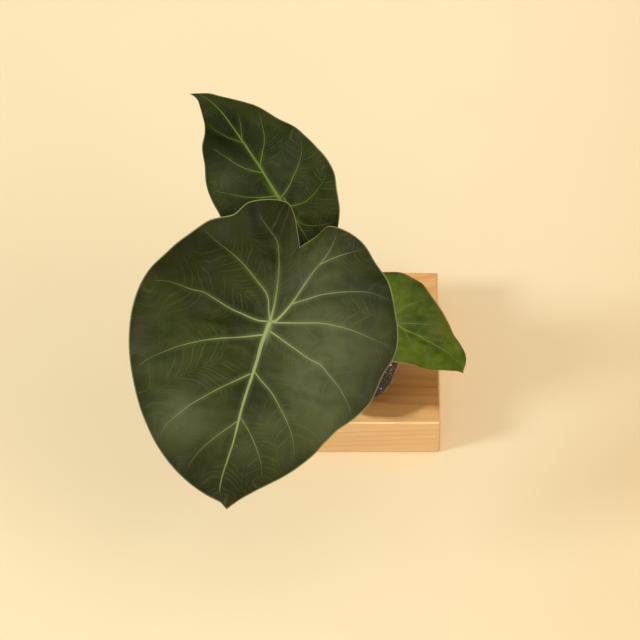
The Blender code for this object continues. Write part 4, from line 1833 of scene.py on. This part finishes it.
@dataclass(frozen=True)
class WoodBlock:
    """Square board with softly broken edges, sawn so that its growth rings lie flat, in metres."""

    side: float = 0.166
    height: float = 0.040
    edge: float = 0.0016
    pith: tuple[float, float] = (0.012, -0.115)
    ring: float = 0.0046
    cells: int = 96

    def steps(self, half: float, cells: int) -> Array:
        """Places along one side: five within each rounded edge and even ones between.

        Args:
            half, cells: half the side's length, and how many places lie between the edges.

        Returns:
            Places from one end to the other.
        """
        edge = np.linspace(0, self.edge, 6)[:-1]
        return np.concatenate([-half + edge, np.linspace(-half + self.edge, half - self.edge, cells),
                               (half - edge)[::-1]])

    def build(self, finish: Material) -> None:
        """Make the block: the faces of a box, welded, with every place pulled in to the round edge.

        A place is the nearest place of the box that is smaller by the edge radius, plus that radius
        in the direction between the two.

        Args:
            finish: the wood.
        """
        half = np.array([self.side / 2, self.side / 2, self.height / 2])
        sides = [self.steps(size, self.cells if size > 0.03 else 26) for size in half]
        points, faces, start = [], [], 0
        for axis in range(3):
            first, second = [sides[index] for index in range(3) if index != axis]
            for sign in (-1.0, 1.0):
                grid = np.stack(np.meshgrid(first, second, indexing="ij"), axis=-1).reshape(-1, 2)
                points.append(np.insert(grid, axis, sign * half[axis], axis=1))
                wide = len(second)
                row, column = np.meshgrid(np.arange(len(first) - 1), np.arange(wide - 1), indexing="ij")
                corner = (row * wide + column + start).ravel()
                quad = np.stack([corner, corner + wide, corner + wide + 1, corner + 1], axis=-1)
                out = sign > 0 if axis != 1 else sign < 0
                faces.append(quad if out else quad[:, ::-1])
                start += len(grid)
        places, weld = np.unique(np.round(np.vstack(points), 7), axis=0, return_inverse=True)
        corners = weld.reshape(-1)[np.vstack(faces)]
        inner = np.clip(places, -half + self.edge, half - self.edge)
        away = unit(places - inner)
        worn = (np.abs(away) > 0.2).sum(axis=1) > 1
        dent = np.where(worn, 0.00035 * np.abs(wander(places, 0.022, 71)), 0.0)
        dent += 0.00006 * wander(places * [0.12, 1, 1], 0.0035, 72)
        placed = inner + away * (self.edge - dent[:, None]) + [0, 0, self.height / 2]
        pith = placed[:, 1:] - np.array(self.pith) - 0.006 * placed[:, :1] / half[0]
        ring = np.linalg.norm(pith, axis=1) / self.ring + 0.35 * wander(placed * [0.25, 1, 1], 0.06, 73)
        values = {"ring": ring, "end": (np.abs(away[:, 0]) > 0.7).astype(float), "worn": worn.astype(float),
                  "upper": eased(0.6, 0.9, away[:, 2])}
        Surface(placed, [corners], values, [0]).piece("wood_block_body", Slot.WOOD, [finish], "wood_block")


@dataclass(frozen=True)
class Sun:
    """A distant light: its power, how wide it looks in degrees, its colour and where it stands."""

    name: str
    power: float
    width: float
    colour: Colour
    spot: Place


@dataclass(frozen=True)
class Stage:
    """Pale floor, a cream sky, a soft box at the right front, two suns and a camera from above.

    Fields:
        target, away, lift, seen: what the camera looks at, how far off and how high in degrees it
            stands, and how wide a field it sees there.
        box_spot, box_target, box_size, box_power, box_colour: the soft box.
        low_sun: casts the faint shade on the floor.
        low_key: only the block takes it. It draws the pot's shade on the wood.
        takers, casters: pieces that the low key lights, and pieces that shade it.
        floor_darker, floor_lighter, floor_shade: tones of the floor, the last one painted shade at the right
            front.
        floor_reach: half the floor's side.
        shade_falloff: over which stretch of X - Y / 4 the floor falls off to its painted shade.
        sky_way, sky_range: direction that the sky gets lighter in, and over which part of it.
        sky_dark, sky_light, sky_power: its colours and strength.
    """

    target: Place = (-0.0178, 0.0293, 0.040)
    away: float = 5.0
    lift: float = 50.0
    seen: float = 0.544
    box_spot: Place = (1.1, -1.1, 1.5)
    box_target: Place = (0.0, 0.0, 0.12)
    box_size: float = 1.0
    box_power: float = 9.0
    box_colour: Colour = (1.0, 0.98, 0.95)
    low_sun: Sun = Sun("low_sun", 1.9, 15.0, (0.66, 0.86, 1.0), (-1.8, -0.58, 1.0))
    low_key: Sun = Sun("low_key", 5.6, 4.0, (0.60, 0.78, 1.0), (-0.54, 0.03, 1.0))
    takers: tuple[str, ...] = ("wood_block_body",)
    casters: tuple[str, ...] = ("potting_mix_body", "leaf_upper_blade", "stem_base_skin")
    floor_darker: Colour = (0.892, 0.720, 0.455)
    floor_lighter: Colour = (0.917, 0.750, 0.483)
    floor_shade: Colour = (0.790, 0.600, 0.350)
    floor_reach: float = 8.0
    shade_falloff: tuple[float, float] = (-0.05, 0.45)
    sky_way: Place = (0.22, -0.68, 0.70)
    sky_range: tuple[float, float] = (-0.25, 0.95)
    sky_dark: Colour = (0.26, 0.23, 0.175)
    sky_light: Colour = (1.0, 0.93, 0.82)
    sky_power: float = 1.19

    def build(self) -> None:
        """Make the floor, the sky, the lights and the camera."""
        self.floor()
        self.sky()
        self.soft_box()
        self.sun(self.low_sun).visible_glossy = False
        self.camera()
        linking = self.sun(self.low_key).light_linking
        linking.receiver_collection = self.gathered("low_key_takers", self.takers)
        linking.blocker_collection = self.gathered("low_key_casters", self.casters)
        bpy.context.scene.view_settings.view_transform = "Standard"

    def camera(self) -> None:
        """A long lens from the front, looking down at the target."""
        camera = bpy.data.cameras.new("camera")
        camera.sensor_width = 36.0
        camera.lens = camera.sensor_width * self.away / self.seen
        camera.clip_end = 50.0
        lift = math.radians(self.lift)
        spot = np.array(self.target) + self.away * np.array([0.0, -math.cos(lift), math.sin(lift)])
        bpy.context.scene.camera = self.aimed("camera", camera, tuple(spot), self.target)

    def soft_box(self) -> None:
        """A square soft light that looks at the plant."""
        light = bpy.data.lights.new("soft_box", "AREA")
        light.size = self.box_size
        light.energy = self.box_power
        light.color = self.box_colour
        self.aimed("soft_box", light, self.box_spot, self.box_target)

    def sun(self, lamp: Sun) -> bpy.types.Object:
        """A distant light that looks at the origin.

        Args:
            lamp: its values.

        Returns:
            The light's object.
        """
        light = bpy.data.lights.new(lamp.name, "SUN")
        light.energy = lamp.power
        light.angle = math.radians(lamp.width)
        light.color = lamp.colour
        return self.aimed(lamp.name, light, lamp.spot, (0.0, 0.0, 0.0))

    def gathered(self, name: str, pieces: tuple[str, ...]) -> bpy.types.Collection:
        """A collection of pieces.

        Args:
            name, pieces: names of the collection and of its pieces.

        Returns:
            The collection.
        """
        group = bpy.data.collections.new(name)
        for piece in pieces:
            group.objects.link(bpy.data.objects[piece])
        return group

    def aimed(self, name: str, data: bpy.types.ID, spot: Place, target: Place) -> bpy.types.Object:
        """An object that stands at the spot and looks at the target.

        Args:
            name, data, spot, target: its name, its light or camera, and the two places.

        Returns:
            The object.
        """
        obj = bpy.data.objects.new(name, data)
        obj.location = spot
        obj.rotation_euler = (Vector(target) - Vector(spot)).to_track_quat("-Z", "Y").to_euler()
        bpy.context.scene.collection.objects.link(obj)
        return obj

    def floor(self) -> None:
        """A wide level sheet with the faintest unevenness of tone, and painted shade that darkens it towards
        the right front.
        """
        reach = self.floor_reach
        mesh = bpy.data.meshes.new("floor")
        corners = [(-reach, -reach, 0), (reach, -reach, 0), (reach, reach, 0), (-reach, reach, 0)]
        mesh.from_pydata(corners, [], [(0, 1, 2, 3)])
        obj = bpy.data.objects.new("floor", mesh)
        bpy.context.scene.collection.objects.link(obj)
        material, graph, shader = principled("pale_floor", Roughness=0.7, Specular_IOR_Level=0.25)
        here = graph.position()
        paint = graph.blend(mottled(graph, here, 9.0, 1.2), self.floor_darker, self.floor_lighter)
        axes = graph.axes(here)
        # Painted shade: the floor darkens towards the right front.
        shade_falloff = graph.spread(graph.times(axes["Y"], -0.25, axes["X"]), *self.shade_falloff)
        graph.dress(shader, Base_Color=graph.blend(shade_falloff, paint, self.floor_shade))
        mesh.materials.append(material)

    def sky(self) -> None:
        """A cream sky that is darker at the back left and lighter at the front right."""
        world = bpy.data.worlds.new("sky")
        world.use_nodes = True
        graph = Graph(world.node_tree)
        way = graph.add("ShaderNodeTexCoord").outputs["Generated"]
        side = graph.add("ShaderNodeVectorMath", {0: way, 1: self.sky_way}, operation="DOT_PRODUCT")
        share = graph.spread(side.outputs["Value"], *self.sky_range)
        graph.dress(world.node_tree.nodes["Background"], Strength=self.sky_power,
                    Color=graph.blend(share, self.sky_dark, self.sky_light))
        bpy.context.scene.world = world


# ---- building

# Each upper finish also holds painted colours: a dark brown for brown patches mixed with painted shade, and
# grey-greens for painted sheen on the ground and on the veins.
LARGE_UPPER = BladeFinish(
    name="large_blade_upper", deep=(0.008, 0.012, 0.0012), light=(0.032, 0.038, 0.0055),
    vein=(0.265, 0.315, 0.095), vein_end=(0.095, 0.115, 0.030), vein_sheen=(0.27, 0.275, 0.145),
    faint=(0.090, 0.105, 0.034), margin=(0.26, 0.27, 0.10), margin_red=(0.20, 0.175, 0.075),
    brown_and_shade=(0.015, 0.013, 0.0015), painted_sheen=(0.090, 0.098, 0.040), rough=0.40, faint_strength=0.55)
UPPER_UPPER = BladeFinish(
    name="upper_blade_upper", deep=(0.008, 0.012, 0.0012), light=(0.026, 0.031, 0.0042),
    vein=(0.145, 0.200, 0.026), vein_end=(0.088, 0.120, 0.022), vein_sheen=(0.15, 0.18, 0.06),
    faint=(0.080, 0.110, 0.026), margin=(0.24, 0.24, 0.09), margin_red=(0.18, 0.155, 0.065),
    brown_and_shade=(0.034, 0.030, 0.008), painted_sheen=(0.056, 0.062, 0.025), rough=0.40, faint_strength=0.50)
SMALL_UPPER = BladeFinish(
    name="small_blade_upper", deep=(0.026, 0.048, 0.0015), light=(0.092, 0.135, 0.006),
    vein=(0.19, 0.25, 0.034), vein_end=(0.12, 0.17, 0.020), vein_sheen=(0.20, 0.25, 0.045),
    faint=(0.12, 0.18, 0.022), margin=(0.36, 0.20, 0.07), margin_red=(0.20, 0.08, 0.03),
    brown_and_shade=(0.100, 0.075, 0.014), painted_sheen=(0.120, 0.165, 0.022), rough=0.36, faint_strength=0.45)
DARK_UNDER = UndersideFinish(
    name="dark_blade_under", deep=(0.085, 0.110, 0.045), light=(0.140, 0.170, 0.080),
    vein=(0.24, 0.29, 0.13), brown_and_shade=(0.15, 0.085, 0.055))
YOUNG_UNDER = UndersideFinish(
    name="young_blade_under", deep=(0.110, 0.170, 0.040), light=(0.170, 0.240, 0.070),
    vein=(0.28, 0.36, 0.12), brown_and_shade=(0.19, 0.13, 0.05))
STALK = StalkFinish(
    name="stalk_skin", green=(0.095, 0.155, 0.030), pale=(0.19, 0.25, 0.075), brown=(0.085, 0.040, 0.022))
STEM = StalkFinish(
    name="stem_skin", green=(0.13, 0.15, 0.045), pale=(0.26, 0.22, 0.10), brown=(0.14, 0.075, 0.035))
PERLITE = GrainFinish(
    name="perlite", first=(0.86, 0.83, 0.76), second=(0.70, 0.66, 0.58), dirt=(0.16, 0.10, 0.065),
    dirty=0.45, rough=0.85)
BARK = GrainFinish(
    name="bark_crumbs", first=(0.050, 0.026, 0.014), second=(0.15, 0.085, 0.045),
    dirt=(0.014, 0.008, 0.006), dirty=0.7, rough=0.9)
STALKS = (
    (Petiole("petiole_large", (-0.0046, -0.0028), ((-0.003, -0.041, 0.176), (-0.018, -0.068, 0.203),
                                                   (-0.038, -0.104, 0.220)), (0.010, 0.005), (0.0046, 0.0026),
             LARGE, 60.0)),
    (Petiole("petiole_upper", (0.0006, 0.0056), ((0.005, -0.019, 0.170), (-0.006, -0.015, 0.200),
                                                 (-0.026, -0.014, 0.225)), (0.011, 0.005), (0.0038, 0.0021),
             UPPER, 250.0)),
    (Petiole("petiole_small", (0.0052, -0.0036), ((0.019, -0.040, 0.144),), (0.008, 0.004), (0.0030, 0.0016),
             SMALL, 150.0)))


def main() -> None:
    """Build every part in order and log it."""
    logging.basicConfig(level=logging.INFO, format="%(message)s")
    WoodBlock().build(WoodFinish().build())
    pot = NurseryPot()
    pot.build(ClearFinish().build())
    RootBall(pot).build(MixFinish().build(), PERLITE.build(), BARK.build(), RootFinish().build())
    StemBase().build(STEM.build())
    blades = {"leaf_large": LeafBlade(LARGE, LARGE_UPPER, DARK_UNDER),
              "leaf_upper": LeafBlade(UPPER, UPPER_UPPER, DARK_UNDER),
              "leaf_small": LeafBlade(SMALL, SMALL_UPPER, YOUNG_UNDER)}
    stalk_skin = STALK.build()
    for petiole in STALKS:
        petiole.build(blades[petiole.leaf.node], stalk_skin)
    for blade in blades.values():
        blade.build()
    Stage().build()
    bpy.context.view_layer.update()


if __name__ == "__main__":
    main()
